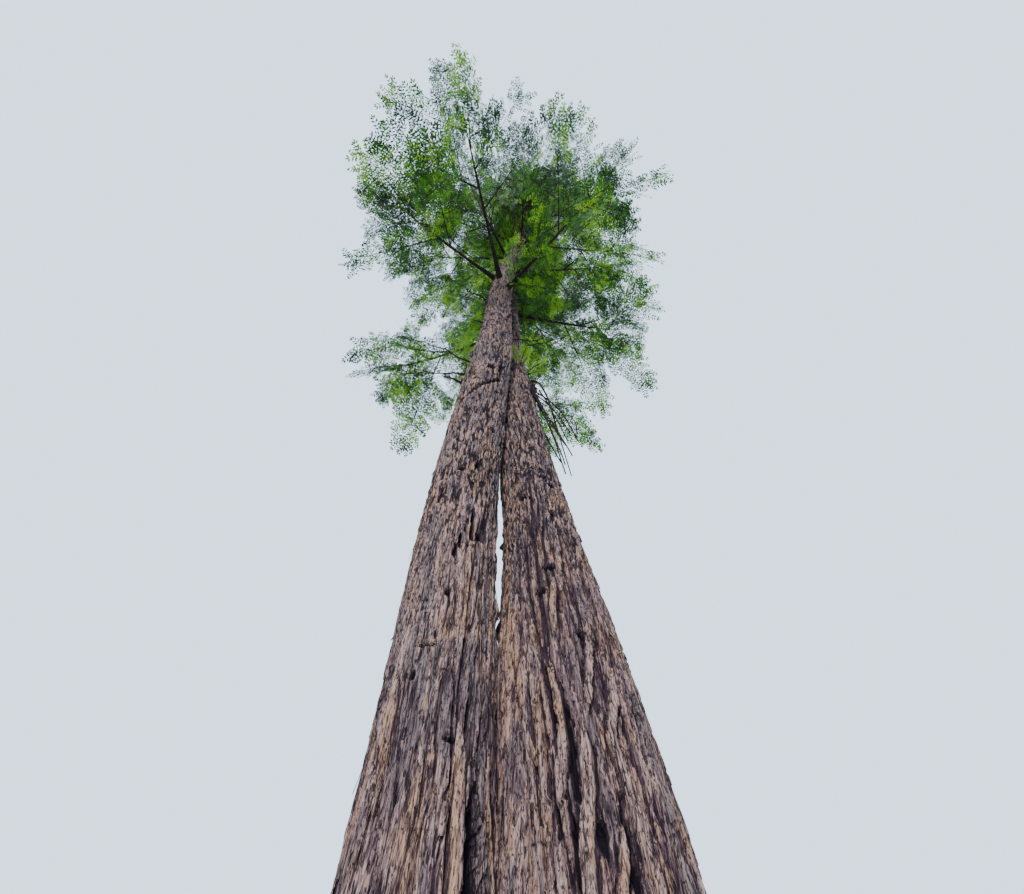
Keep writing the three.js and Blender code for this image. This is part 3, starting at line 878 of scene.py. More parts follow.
def bark_relief(stem, around, height, settings):
    """The bark's relief at places on a stem. around runs from 0 to 1 round it."""
    radius = measure(stem, STATION_DIAMETER, height) / 2
    scale = np.clip(radius / RELIEF_RADIUS, 0, None) ** RELIEF_POWER
    plates = plated(height)
    row = pattern_height(height)
    sway = 1.3 * noise(around * 4, height / 2.7, 4, stem.seed)
    sway = sway + 0.35 * noise(around * 13, height / 0.8, 13, stem.seed + 1)
    depth = furrow_depth(stem, around, row, sway) * (1 - (1 - PLATE_DEPTH) * plates)
    lift = np.zeros_like(depth)
    tone = 0.35 + 0.3 * noise(around * stem.ridges, height / 1.5, stem.ridges, stem.seed + 2)
    warmth = 0.5 + 0.5 * noise(around * stem.ridges, height / 2.0, stem.ridges, stem.seed + 3)
    for i, layer in enumerate(STRIP_LAYERS):
        layer_lift, layer_tone, layer_warmth = strip_layer(layer, stem, around, row, stem.seed + 40 + 10 * i)
        tone = np.where(layer_lift > lift, layer_tone, tone)
        warmth = np.where(layer_lift > lift, layer_warmth, warmth)
        lift = np.maximum(lift, layer_lift)
    tone = tone + PLATE_EVENNESS * plates * (PLATE_TONE - tone)
    warmth = warmth + PLATE_EVENNESS * plates * (PLATE_WARMTH - warmth)
    # Painted light and shade of each stem, by height
    tone = tone + np.interp(height, *zip(*PAINTED_STEM_LIGHT[stem.name]))
    ribbon, gap, ribbon_tone, ribbon_warmth = ribbons(stem, around, height)
    is_ribbon = ribbon_tone > 0
    tone = np.where(is_ribbon, ribbon_tone, tone)
    warmth = np.where(is_ribbon, ribbon_warmth, warmth)
    # The gaps are cut as grooves and painted dark as shadow
    depth = np.maximum(depth * (1 - RIBBON_FILL * is_ribbon), gap)
    fibre_count = FIBRE_CROWDING * stem.ridges
    fibre = noise(around * fibre_count + 3 * sway, height / FIBRE_LENGTH, fibre_count, stem.seed + 90)
    hollow, rim = hollows(stem, around, height)
    pit = pits(stem, around, height) * (LOW_PITS + (1 - LOW_PITS) * plates)
    lump, crust = burls(stem, around, height)
    closed = 1 - ease(hollow / CUT_DEPTH)
    offset = scale * (
        settings.strip_lift * lift * (1 - 0.6 * depth)
        - settings.furrow_depth * depth
        + settings.fibre_height * fibre * (1 - depth)
    )
    offset = (offset + ribbon) * closed + rim - hollow - PIT_DEPTH * pit + lump
    facing = turn_from(around, np.interp(height, SEAM_TURN, SEAM_DIRECTIONS[stem.name]))
    facing = np.clip(np.cos(facing), 0, 1) ** FACING_POWER
    offset = offset + facing * np.interp(height, *zip(*SEAM_COURSE))
    # Painted shade: the hollows and small holes darken the colour and the deepest turn black, without
    # changing the shape; the burls' black is added here too
    depth = np.clip(depth + HOLLOW_SHADE * hollow + pit, 0, 1)
    depth = depth + ease(np.maximum(hollow / BLACK_DEPTH, crust))
    return Relief(offset, depth, tone, warmth)


@dataclass
class Surface:
    """Vertices, faces and named values at the vertices of one mesh in the making."""

    vertices: np.ndarray
    faces: list = field(default_factory=list)
    values: dict = field(default_factory=dict)


def lengthened(heights):
    """The same heights with a few more before the first and after the last."""
    steps = np.arange(1, CAVITY_RINGS + 1)
    before = heights[0] - (heights[1] - heights[0]) * steps[::-1]
    after = heights[-1] + (heights[-1] - heights[-2]) * steps
    return np.concatenate((before, heights, after))


def stem_surface(stem, heights, columns, settings):
    """The bark of one stretch of a stem as a closed tube, from its lowest ring to its highest."""
    around, height = np.meshgrid(np.arange(columns) / columns, lengthened(heights))
    relief = bark_relief(stem, around, height, settings)
    # proud: how far a place stands above the bark round it, which the colour uses for painted light on ridges
    # and painted shade in hollows
    level = blurred(relief.offset, CAVITY_COLUMNS, CAVITY_RINGS)
    proud = np.clip(0.5 + (relief.offset - level) / (2 * CAVITY_DEPTH), 0, 1)
    kept = slice(CAVITY_RINGS, CAVITY_RINGS + len(heights))
    around, height, proud, relief = around[kept], height[kept], proud[kept], relief.rows(kept)
    angle = 2 * math.pi * around
    radius = stem_radius(stem, height, angle) + relief.offset
    points = stem_middle(stem, height) + radius[..., None] * directions_at(angle)
    rings = np.arange(len(heights) * columns).reshape(len(heights), columns)
    values = {
        "proud": proud.ravel(),
        "furrow": relief.depth.ravel(),
        "tone": relief.tone.ravel(),
        "warmth": relief.warmth.ravel(),
        "grain": points.reshape(-1, 3),
    }
    return Surface(points.reshape(-1, 3), [ring_faces(rings), rings[:1, ::-1], rings[-1:]], values)


def ring_faces(rings):
    """Four-cornered faces between closed rings of vertices."""
    after = np.roll(rings, -1, axis=-1)
    corners = (rings[..., :-1, :], after[..., :-1, :], after[..., 1:, :], rings[..., 1:, :])
    return np.stack(corners, -1).reshape(-1, 4)


def joined(surfaces):
    """Several surfaces as one."""
    total = Surface(np.concatenate([s.vertices for s in surfaces]))
    start = 0
    for surface in surfaces:
        total.faces += [faces + start for faces in surface.faces]
        start += len(surface.vertices)
    for name in surfaces[0].values:
        total.values[name] = np.concatenate([s.values[name] for s in surfaces])
    return total


# Meshes and pieces


def to_mesh(name, surface, is_smooth):
    loops = np.concatenate([faces.ravel() for faces in surface.faces])
    sizes = np.concatenate([np.full(len(faces), faces.shape[1]) for faces in surface.faces])
    starts = np.concatenate(([0], np.cumsum(sizes)[:-1]))
    mesh = bpy.data.meshes.new(name)
    mesh.vertices.add(len(surface.vertices))
    mesh.vertices.foreach_set("co", surface.vertices.astype(np.float32).ravel())
    mesh.loops.add(len(loops))
    mesh.loops.foreach_set("vertex_index", loops.astype(np.int32))
    mesh.polygons.add(len(sizes))
    mesh.polygons.foreach_set("loop_start", starts.astype(np.int32))
    mesh.update(calc_edges=True)
    mesh.validate()
    for key, value in surface.values.items():
        is_vector = value.ndim == 2
        attribute = mesh.attributes.new(key, "FLOAT_VECTOR" if is_vector else "FLOAT", "POINT")
        attribute.data.foreach_set("vector" if is_vector else "value", value.astype(np.float32).ravel())
    if is_smooth:
        mesh.polygons.foreach_set("use_smooth", sizes <= 4)
    return mesh


def add_object(name, data):
    made = bpy.data.objects.new(name, data)
    bpy.context.scene.collection.objects.link(made)
    return made


def add_piece(name, shape, material, nodes, is_smooth=True):
    """A piece of the tree, from a surface or a mesh, that stands for some of the solids' nodes."""
    mesh = to_mesh(name, shape, is_smooth) if isinstance(shape, Surface) else shape
    mesh.materials.append(material)
    piece = add_object(name, mesh)
    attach(piece, "root")
    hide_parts(*nodes)


def nodes_named(start):
    found = sorted(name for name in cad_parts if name.startswith(start))
    if not found:
        raise RuntimeError(f"the frame has no node whose name starts with {start}")
    return found


# Shader node groups and materials


def feed(tree, socket, source):
    """Gives a socket a fixed value, or links another node's output to it."""
    if isinstance(source, bpy.types.NodeSocket):
        tree.links.new(source, socket)
    else:
        socket.default_value = source


def add_node(tree, kind, inputs=None, **settings):
    """A node with its settings made and its inputs fed."""
    made = tree.nodes.new(kind)
    for key, value in settings.items():
        setattr(made, key, value)
    for key, source in (inputs or {}).items():
        feed(tree, made.inputs[key], source)
    return made


def add_math(tree, operation, *sources):
    return add_node(tree, "ShaderNodeMath", dict(enumerate(sources)), operation=operation).outputs[0]


def mesh_value(tree, name, output="Fac"):
    """A value that the mesh holds at its vertices."""
    return add_node(tree, "ShaderNodeAttribute", attribute_name=name).outputs[output]


def new_group(name, values, outputs):
    """An empty shader node group with a place, named values and outputs, and its two end nodes."""
    group = bpy.data.node_groups.new(name, "ShaderNodeTree")
    group.interface.new_socket(name="Place", in_out="INPUT", socket_type="NodeSocketVector")
    for socket, value in values.items():
        made = group.interface.new_socket(name=socket, in_out="INPUT", socket_type="NodeSocketFloat")
        made.default_value = value
    for socket in outputs:
        group.interface.new_socket(name=socket, in_out="OUTPUT", socket_type="NodeSocketFloat")
    return group, add_node(group, "NodeGroupInput"), add_node(group, "NodeGroupOutput")


def drawn_out_noise(group, start, fineness, detail, roughness, distortion):
    """A noise that is drawn out along the grain, in a group with Place and Stretch."""
    squeeze = add_math(group, "DIVIDE", 1.0, start.outputs["Stretch"])
    scale = add_node(group, "ShaderNodeCombineXYZ", {"X": 1.0, "Y": 1.0, "Z": squeeze})
    places = {0: start.outputs["Place"], 1: scale.outputs[0]}
    stretched = add_node(group, "ShaderNodeVectorMath", places, operation="MULTIPLY")
    inputs = {"Vector": stretched.outputs[0], "Scale": fineness, "Detail": detail}
    inputs |= {"Roughness": roughness, "Distortion": distortion}
    return add_node(group, "ShaderNodeTexNoise", inputs).outputs["Fac"]


FINER_FIBRES = 2.7  # how much finer the finest fibres are
FINER_HEIGHT = 0.6


def fibre_group():
    """Long fine fibres along the grain: a mask from 0 to 1 and a height."""
    name = "wood_fibres"
    if name in bpy.data.node_groups:
        return bpy.data.node_groups[name]
    group, start, end = new_group(name, {"Fineness": 60.0, "Stretch": 12.0}, ("Fibre", "Height"))
    fineness = start.outputs["Fineness"]
    finer = add_math(group, "MULTIPLY", fineness, FINER_FIBRES)
    broad = drawn_out_noise(group, start, fineness, 4.0, 0.6, 0.0)
    fine = drawn_out_noise(group, start, finer, 2.0, 0.55, 0.0)
    feed(group, end.inputs["Fibre"], broad)
    feed(group, end.inputs["Height"], add_math(group, "MULTIPLY_ADD", fine, FINER_HEIGHT, broad))
    return group


def cloud_group():
    """A cloud drawn out along the grain, as soft-edged patches and as thin lines that branch and join."""
    name = "drawn_out_cloud"
    if name in bpy.data.node_groups:
        return bpy.data.node_groups[name]
    values = {"Fineness": 4.0, "Stretch": 1.0, "Start": 0.4, "End": 0.6, "Width": 0.04}
    group, start, end = new_group(name, values, ("Patch", "Line"))
    cloud = drawn_out_noise(group, start, start.outputs["Fineness"], 3.5, 0.55, 0.4)
    off = add_math(group, "ABSOLUTE", add_math(group, "SUBTRACT", cloud, 0.5))
    patch = add_ramp(group, cloud, start.outputs["Start"], start.outputs["End"])
    line = add_ramp(group, off, 0.0, start.outputs["Width"], 1.0, 0.0)
    feed(group, end.inputs["Patch"], patch)
    feed(group, end.inputs["Line"], line)
    return group


BARK_GLOSS = 0.15
# The dark marks are painted shade of small cracks and holes
MARK_HEIGHTS = (3.5, 5.6)  # between these heights the dark marks on the bark grow
DASH_LIMITS = (0.32, 0.42)  # of the cloud that make a mark, low down and high up
SPOT_LIMITS = (0.27, 0.395)
MARK_SOFTNESS = 0.025
DARK_NEEDLES = 0.62
PALE_WOOD = (1.8, 0.002)  # times a colour, and added to it
FIRST_COLOUR = 6  # sockets of a mix node that is set to colours
SECOND_COLOUR = 7
MIXED_COLOUR = 2
NEEDLE_GLOSS = 0.3
FLOOR_GLOSS = 0.3


def new_material(name, roughness, gloss):
    """A material with its shader, and the shader's node tree."""
    material = bpy.data.materials.new(name)
    material.use_nodes = True
    tree = material.node_tree
    tree.nodes.clear()
    inputs = {"Roughness": roughness, "Specular IOR Level": gloss}
    shader = add_node(tree, "ShaderNodeBsdfPrincipled", inputs)
    add_node(tree, "ShaderNodeOutputMaterial", {"Surface": shader.outputs["BSDF"]})
    return material, tree, shader


def add_group(tree, group, place, **values):
    """A node group laid over a surface."""
    return add_node(tree, "ShaderNodeGroup", {"Place": place, **values}, node_tree=group)


def blend_colours(tree, share, first, second):
    """Mixes two colours, each a fixed colour or another node's output."""
    inputs = {"Factor": share, FIRST_COLOUR: first, SECOND_COLOUR: second}
    return add_node(tree, "ShaderNodeMix", inputs, data_type="RGBA").outputs[MIXED_COLOUR]


def shaded(colour, share, lift=0.0):
    """A colour that is made darker or paler."""
    return (*(min(1.0, share * part + lift) for part in colour[:3]), 1.0)


def blend_values(tree, *parts, start=0.0, is_limited=True):
    """Adds up values, each times its own share, and keeps the sum from 0 to 1."""
    total = start
    for source, share in parts:
        inputs = {0: source, 1: share, 2: total}
        step = add_node(tree, "ShaderNodeMath", inputs, operation="MULTIPLY_ADD")
        total = step.outputs[0]
    step.use_clamp = is_limited
    return total


def add_ramp(tree, source, low, high, to_low=0.0, to_high=1.0):
    """Maps a value's range smoothly on to another."""
    inputs = {"Value": source, "From Min": low, "From Max": high, "To Min": to_low, "To Max": to_high}
    return add_node(tree, "ShaderNodeMapRange", inputs, interpolation_type="SMOOTHSTEP").outputs["Result"]


def add_bump(tree, shader, height, strength, distance):
    """Relief in the shading, from a height that changes over the surface."""
    inputs = {"Height": height, "Strength": strength, "Distance": distance}
    feed(tree, shader.inputs["Normal"], add_node(tree, "ShaderNodeBump", inputs).outputs["Normal"])


def dark_marks(tree, grain, height, fineness, stretch, limits):
    """Mask of dark marks along the grain, painted shade of small cracks and holes, of which there are more
    higher up.
    """
    end = add_ramp(tree, height, *MARK_HEIGHTS, *limits)
    start = blend_values(tree, (end, 1.0), start=MARK_SOFTNESS)
    marks = add_group(tree, cloud_group(), grain, Fineness=fineness, Stretch=stretch, Start=start, End=end)
    return marks.outputs["Patch"]


def bark_material(settings):
    """Fibrous bark of the stems: pale and grey strips, dark slits and darker furrows, with painted light on
    the ridges and painted shade in the furrows, cracks and hollows.
    """
    material, tree, shader = new_material("redwood_bark", 0.9, BARK_GLOSS)
    grain = mesh_value(tree, "grain", "Vector")
    proud, furrow, tone, warmth = (mesh_value(tree, name) for name in ("proud", "furrow", "tone", "warmth"))
    fibres = add_group(tree, fibre_group(), grain, Fineness=80.0, Stretch=15.0)
    coarse = add_group(tree, fibre_group(), grain, Fineness=20.0, Stretch=12.0)
    patches = add_group(tree, cloud_group(), grain, Fineness=4.5, Stretch=3.0, Start=0.40, End=0.62)
    cracks = add_group(tree, cloud_group(), grain, Fineness=17.0, Stretch=13.0, Width=0.045)
    slits = add_group(tree, cloud_group(), grain, Fineness=85.0, Stretch=3.5, Start=0.43, End=0.38)
    height = add_node(tree, "ShaderNodeSeparateXYZ", {0: grain}).outputs["Z"]
    dash = dark_marks(tree, grain, height, 30.0, 6.5, DASH_LIMITS)
    spot = dark_marks(tree, grain, height, 13.0, 4.5, SPOT_LIMITS)
    slit = slits.outputs["Patch"]
    patch = patches.outputs["Patch"]
    fibre = add_ramp(tree, fibres.outputs["Height"], 0.66, 0.94)
    streak = add_ramp(tree, coarse.outputs["Fibre"], 0.34, 0.68)
    hue = blend_values(tree, (warmth, 0.75), (patch, 0.5), start=-0.12)
    cool = blend_colours(tree, add_ramp(tree, hue, 0.16, 0.42), settings.grey_colour, settings.pale_colour)
    tinted = blend_colours(tree, add_ramp(tree, hue, 0.50, 0.90), cool, settings.warm_colour)
    pale = blend_values(tree, (tone, 0.58), (fibre, 0.8), (streak, 0.25), (patch, 0.12), start=-0.27)
    ridges = blend_colours(tree, pale, settings.ridge_colour, tinted)
    # Painted light and shade: raised places and fibres are painted lighter, furrows and hollows darker, as
    # their shade
    light = blend_values(tree, (proud, 0.72), (fibre, 0.8), (streak, 0.15), (furrow, -1.2), start=0.06)
    threads = blend_values(tree, (fibre, 0.5), (streak, 0.3), start=-0.15)
    # The colour painted in the furrows' shade: the furrow shade colour and the ridge colour mixed along the
    # fibres
    deep = blend_colours(tree, threads, settings.furrow_shade_colour, settings.ridge_colour)
    colour = blend_colours(tree, light, deep, ridges)
    # Painted shade: cracks, slits, dashes and spots darkened to the crack shade colour
    crack = blend_values(tree, (cracks.outputs["Line"], 1.0), (streak, -0.5))
    for mask, strength in ((crack, 1.0), (slit, 0.85), (dash, 0.9), (spot, 0.95)):
        colour = blend_colours(tree, blend_values(tree, (mask, strength)), colour, settings.crack_shade_colour)
    # Painted shade: black inside the deepest hollows; the black burls take this colour too
    colour = blend_colours(tree, add_ramp(tree, furrow, 1.1, 1.7), colour, settings.hollow_shade_colour)
    feed(tree, shader.inputs["Base Color"], colour)
    feed(tree, shader.inputs["Roughness"], add_ramp(tree, fibre, 0.0, 1.0, 0.98, 0.82))
    cut = blend_values(
        tree, (fibres.outputs["Height"], 0.5), (coarse.outputs["Height"], 0.5),
        (slit, -0.4), (crack, -0.5), start=0.3, is_limited=False,
    )
    add_bump(tree, shader, cut, 1.0, 0.02)
    return material


def wood_material(name, colour, fineness, stretch, dark_share):
    """Bark of the boughs, twigs and dead wood: fibres and darker patches along the grain."""
    material, tree, shader = new_material(name, 0.88, BARK_GLOSS)
    grain = mesh_value(tree, "grain", "Vector")
    fibres = add_group(tree, fibre_group(), grain, Fineness=fineness, Stretch=stretch)
    patches = add_group(tree, cloud_group(), grain, Fineness=2.5, Start=0.4, End=0.66)
    fibre = fibres.outputs["Fibre"]
    base = blend_colours(tree, add_ramp(tree, fibre, 0.35, 0.7), shaded(colour, dark_share), colour)
    worn = blend_colours(tree, patches.outputs["Patch"], base, shaded(colour, *PALE_WOOD))
    feed(tree, shader.inputs["Base Color"], worn)
    feed(tree, shader.inputs["Roughness"], add_ramp(tree, fibre, 0.3, 0.7, 0.95, 0.75))
    add_bump(tree, shader, fibres.outputs["Height"], 0.7, 0.006)
    return material


def needle_material(name, colour):
    """Needles of one tint, a little darker and duller in soft patches."""
    material, tree, shader = new_material(name, 0.55, NEEDLE_GLOSS)
    place = add_node(tree, "ShaderNodeTexCoord").outputs["Object"]
    patch = add_group(tree, cloud_group(), place, Fineness=3.3, Start=0.35, End=0.65).outputs["Patch"]
    feed(tree, shader.inputs["Base Color"], blend_colours(tree, patch, shaded(colour, DARK_NEEDLES), colour))
    feed(tree, shader.inputs["Roughness"], add_ramp(tree, patch, 0.0, 1.0, 0.65, 0.45))
    return material


# Stretches of bark up a stem, coarser towards its tip


@dataclass(frozen=True)
class Stretch:
    name: str
    start: float
    end: float  # nought stands for the stem's tip
    columns: int
    rings: int


STRETCHES = (
    Stretch("lower", CROTCH_HEIGHT, 8.4, 384, 230),
    Stretch("middle", 8.4, 17.5, 256, 240),
    Stretch("upper", 17.5, 0.0, 112, 220),
)
FOOT_RINGS = 90
RING_GROWTH = 2.6  # height that is added before rings are spaced evenly in scale


def ring_heights(start, end, rings):
    """Heights of rings that stand further apart towards the top."""
    return np.geomspace(start + RING_GROWTH, end + RING_GROWTH, rings) - RING_GROWTH


def root_crown_mesh(settings):
    """Both feet joined into one closed body by a union."""
    columns = STRETCHES[0].columns
    heights = ring_heights(0.0, CROTCH_HEIGHT, FOOT_RINGS)
    feet = []
    for stem in STEMS:
        mesh = to_mesh(f"foot_{stem.name}", stem_surface(stem, heights, columns, settings), True)
        feet.append(add_object(mesh.name, mesh))
    union = feet[0].modifiers.new("union", "BOOLEAN")
    union.operation = "UNION"
    union.object = feet[1]
    union.solver = "MANIFOLD"
    depsgraph = bpy.context.evaluated_depsgraph_get()
    mesh = bpy.data.meshes.new_from_object(feet[0].evaluated_get(depsgraph))
    for foot in feet:
        old = foot.data
        bpy.data.objects.remove(foot)
        bpy.data.meshes.remove(old)
    mesh.name = "bark_root_crown"
    mesh.materials.clear()
    return mesh


class REDWOOD_OT_bark(Operator):
    """Lays furrowed bark over the root crown and both stems"""

    bl_idname = "redwood.bark"
    bl_label = "Stem bark"

    def execute(self, context):
        settings = context.scene.redwood_bark
        material = bark_material(settings)
        add_piece("bark_root_crown", root_crown_mesh(settings), material, ["root_crown"])
        for stem in STEMS:
            for stretch in STRETCHES:
                heights = ring_heights(stretch.start, stretch.end or stem.tip, stretch.rings)
                surface = stem_surface(stem, heights, stretch.columns, settings)
                name = f"bark_{stem.name}_{stretch.name}"
                add_piece(name, surface, material, [f"stem_{stem.name}"])
        return {"FINISHED"}


# Rods: boughs, twigs and dead branches


def normalised(vectors):
    return vectors / np.linalg.norm(vectors, axis=-1, keepdims=True)


def rods(paths, radii, sides):
    """Tapering rods along paths, rods by points by 3. Radii are by points, or by sides too."""
    along = normalised(np.gradient(paths, axis=1))
    whole = normalised(paths[:, -1] - paths[:, 0])
    reference = np.where(np.abs(whole[:, 2:]) > STEEP, ACROSS, UP)[:, None, :]
    side = normalised(np.cross(reference, along))
    under = np.cross(side, along)
    turn = 2 * math.pi * np.arange(sides) / sides
    out = side[..., None, :] * np.cos(turn)[:, None] + under[..., None, :] * np.sin(turn)[:, None]
    radii = np.asarray(radii)
    if radii.ndim < 3:
        radii = np.broadcast_to(radii, paths.shape[:2])[..., None]
    points = paths[..., None, :] + radii[..., None] * out
    count, rings = paths.shape[:2]
    index = np.arange(count * rings * sides).reshape(count, rings, sides)
    length = np.linalg.norm(np.diff(paths, axis=1), axis=-1).cumsum(axis=1)
    place = np.pad(length, ((0, 0), (1, 0)))[..., None] + np.arange(count)[:, None, None]
    grain = np.stack(np.broadcast_arrays(radii * np.cos(turn), radii * np.sin(turn), place), -1)
    faces = [ring_faces(index), index[:, 0, ::-1], index[:, -1]]
    return Surface(points.reshape(-1, 3), faces, {"grain": grain.reshape(-1, 3)})


def bezier(controls, shares):
    """Points and directions on a cubic curve."""
    s = np.asarray(shares, float)[:, None]
    first, second, third, fourth = controls
    points = (
        (1 - s) ** 3 * first + 3 * (1 - s) ** 2 * s * second + 3 * (1 - s) * s**2 * third + s**3 * fourth
    )
    slopes = (
        (1 - s) ** 2 * (second - first) + 2 * (1 - s) * s * (third - second) + s**2 * (fourth - third)
    )
    return points, normalised(slopes)


def frame_at(controls, share):
    """Point, direction, side and underside at a place on a curve, as the solids have them."""
    points, along = bezier(controls, [share])
    reference = np.where(np.abs(along[:, 2:]) > STEEP, ACROSS, UP)
    side = normalised(np.cross(reference, along))
    under = normalised(np.cross(side, along))
    return points[0], along[0], side[0], under[0]


@dataclass
class Bough:
    tier: Tier
    stem: Stem
    controls: np.ndarray
    number: str


@dataclass
class Mass:
    """One mass of foliage: the outer part of a bough's curve and its twigs."""

    name: str
    controls: np.ndarray
    start: float
    root_radius: float
    spread: float
    twigs: int


def bough_sizes(tier, number, i, draw):
    """Direction in degrees, height and reach of one bough."""
    if number == 0:
        return LOWEST_BOUGHS[i]
    stray = DIRECTION_SPREAD * (draw() - 0.5)
    direction = LOWEST_BOUGHS[0][0] + number * TIER_TURN + i * 360 / tier.count + stray
    step = ((i % 2) * math.ceil(tier.count / 2) + i // 2) / tier.count
    return direction, tier.height + tier.depth * step, tier.reach * (1 + REACH_SPREAD * (draw() - 0.5))


def carrier_of(direction, height):
    """The front stem carries the boughs that point to the viewer, the back stem the others."""
    faces_front = math.sin(math.radians(direction)) < math.sin(math.radians(FRONT_REACH))
    return LEFT_STEM if faces_front or height > RIGHT_STEM.tip - LEADER_DROP else RIGHT_STEM


def bough_controls(stem, height, direction, full_reach, tier):
    reach = full_reach - tier.spread * END_SPRAY_SHARE * (1 - TWIG_OVERLAP)
    out = np.array((math.cos(direction), math.sin(direction), 0.0))
    start = stem_middle(stem, height)
    return np.array([start + share * reach * out + lift * tier.rise * UP for share, lift in BOUGH_LINE])


def plan_boughs():
    draw = make_random(SEED)
    plan = []
    for number, tier in enumerate(TIERS):
        for i in range(tier.count):
            direction, height, reach = bough_sizes(tier, number, i, draw)
            stem = carrier_of(direction, height)
            controls = bough_controls(stem, height, math.radians(direction), reach, tier)
            plan.append(Bough(tier, stem, controls, f"{len(plan) + 1:02d}"))
    return plan


def plan_top(name, stem):
    start = stem_middle(stem, stem.tip)
    last = LEADER_SPREAD * END_SPRAY_SHARE * (1 - TWIG_OVERLAP)
    rise = LEADER_HEIGHT - last
    controls = np.array([start + UP * rise * i / 3 for i in range(4)])
    return Mass(name, controls, 0.0, LEADER_RADIUS, LEADER_SPREAD, LEADER_TWIGS)


def plan_masses(boughs):
    masses = [plan_top("foliage_left_top", LEFT_STEM), plan_top("foliage_right_top", RIGHT_STEM)]
    for bough in boughs:
        share = BOUGH_TIP_SHARE if bough.tier.bare else STEM_AXIS_SHARE
        root_radius = bough.tier.girth / 2 * share
        name = f"foliage_{bough.number}"
        tier = bough.tier
        masses.append(Mass(name, bough.controls, tier.bare, root_radius, tier.spread, tier.twigs))
    return masses


BOUGH_RINGS = 36
BOUGH_RIDGES = 5
COLLAR_SIZE = 0.3  # how much thicker a bough is where it leaves its stem
COLLAR_LENGTH = 0.12
BOUGH_RIDGE_LENGTH = 0.35
BOUGH_LUMPS = 2
BOUGH_LUMP_LENGTH = 0.8
BOUGH_END = 0.1  # share of the bare part over which its bark smooths out
SLIMNESS = 0.7  # thickness of a bough in its hollows, as a share of its solid's


def bough_surface(bough, settings):
    """The bare part of one bough, with a collar at its stem and uneven bark."""
    tier = bough.tier
    shares = np.linspace(0, tier.bare, BOUGH_RINGS)
    points, _ = bezier(bough.controls, shares)
    around = np.arange(settings.sides) / settings.sides
    length = np.linalg.norm(bough.controls[-1] - bough.controls[0])
    place = shares * length
    root = tier.girth / 2 * SLIMNESS
    radius = root * (1 + (BOUGH_TIP_SHARE - 1) * shares / tier.bare)
    out = np.maximum(place - stem_radius(bough.stem, points[0, 2], 0.0), 0)
    radius = radius * (1 + COLLAR_SIZE * np.exp(-out / COLLAR_LENGTH))
    seed = 300 + int(bough.number)
    ridge = noise(around[None] * BOUGH_RIDGES, place[:, None] / BOUGH_RIDGE_LENGTH, BOUGH_RIDGES, seed)
    lump = noise(around[None] * BOUGH_LUMPS, place[:, None] / BOUGH_LUMP_LENGTH, BOUGH_LUMPS, seed + 50)
    fade = ease((tier.bare - shares) / (BOUGH_END * tier.bare))[:, None]
    uneven = 1 + settings.relief * fade * (ridge + lump)
    return rods(points[None], (radius[:, None] * uneven)[None], settings.sides)


class REDWOOD_OT_boughs(Operator):
    """Grows the bare part of every bough out of its stem"""

    bl_idname = "redwood.boughs"
    bl_label = "Boughs"

    def execute(self, context):
        settings = context.scene.redwood_boughs
        material = wood_material("bough_bark", settings.colour, 70.0, 9.0, 0.45)
        surfaces = [bough_surface(bough, settings) for bough in plan_boughs() if bough.tier.bare]
        add_piece("boughs", joined(surfaces), material, nodes_named("bough_"))
        return {"FINISHED"}


# Foliage: fronds of branchlets, each with sprays of needles


@dataclass
class Shoots:
    """Where fronds or sprays of needles grow: their roots, directions, sides and lengths."""

    root: np.ndarray
    along: np.ndarray
    side: np.ndarray
    length: np.ndarray

    def kept(self, mask):
        return Shoots(self.root[mask], self.along[mask], self.side[mask], self.length[mask])


BOX_ALLOWANCE = 0.005
SHORTENING = 0.93
SHORTENING_STEPS = 12
AXIS_RINGS = 9
AXIS_SIDES = 6
AXIS_TIP = 0.22  # thickness at the tip, as a share of that at the root
TWIG_RINGS = 5
TWIG_SIDES = 5
TWIG_ENDS = (0.8, 0.35)  # thickness at the root and the tip, as shares of the solid's
TWIG_SAG = 0.07  # share of a twig's length that its middle hangs


def turned_about_up(vector, angle):
    x, y, z = vector
    return np.array((x * math.cos(angle) - y * math.sin(angle), x * math.sin(angle) + y * math.cos(angle), z))


def twig_ends(mass, draw):
    """Root and tip of each twig of a mass."""
    turns = [i * GOLDEN_ANGLE + TWIG_STRAY * draw() for i in range(mass.twigs)]
    inner = max(mass.start, TRUNK_ROOM)
    ends = []
    for i, turn in enumerate(turns):
        place = i / (mass.twigs - 1)
        share = between((inner, 1), between(TWIG_PLACES, place))
        point, along, side, under = frame_at(mass.controls, share)
        outward = side * math.cos(math.radians(turn)) + under * math.sin(math.radians(turn))
        heading = along * math.cos(TWIG_LEAN) + outward * math.sin(TWIG_LEAN) - UP * TWIG_HANG
        length = mass.spread * TWIG_SHARE * (1 - TWIG_TAPER * place)
        ends.append((point, point + normalised(heading) * length))
    return ends


def frond_at(root, along, length, sweep, draw):
    """One frond, rolled about its own direction and swept to one side by the seeded rule."""
    roll = (draw() - 0.5) * FROND_ROLL
    turn = sweep * (draw() - 0.5) * SWEEP
    along = normalised(turned_about_up(along, turn))
    level = ACROSS if abs(along[2]) > STEEP else normalised(np.cross(UP, along))
    side = level * math.cos(roll) + np.cross(along, level) * math.sin(roll)
    return root, along, normalised(side), length


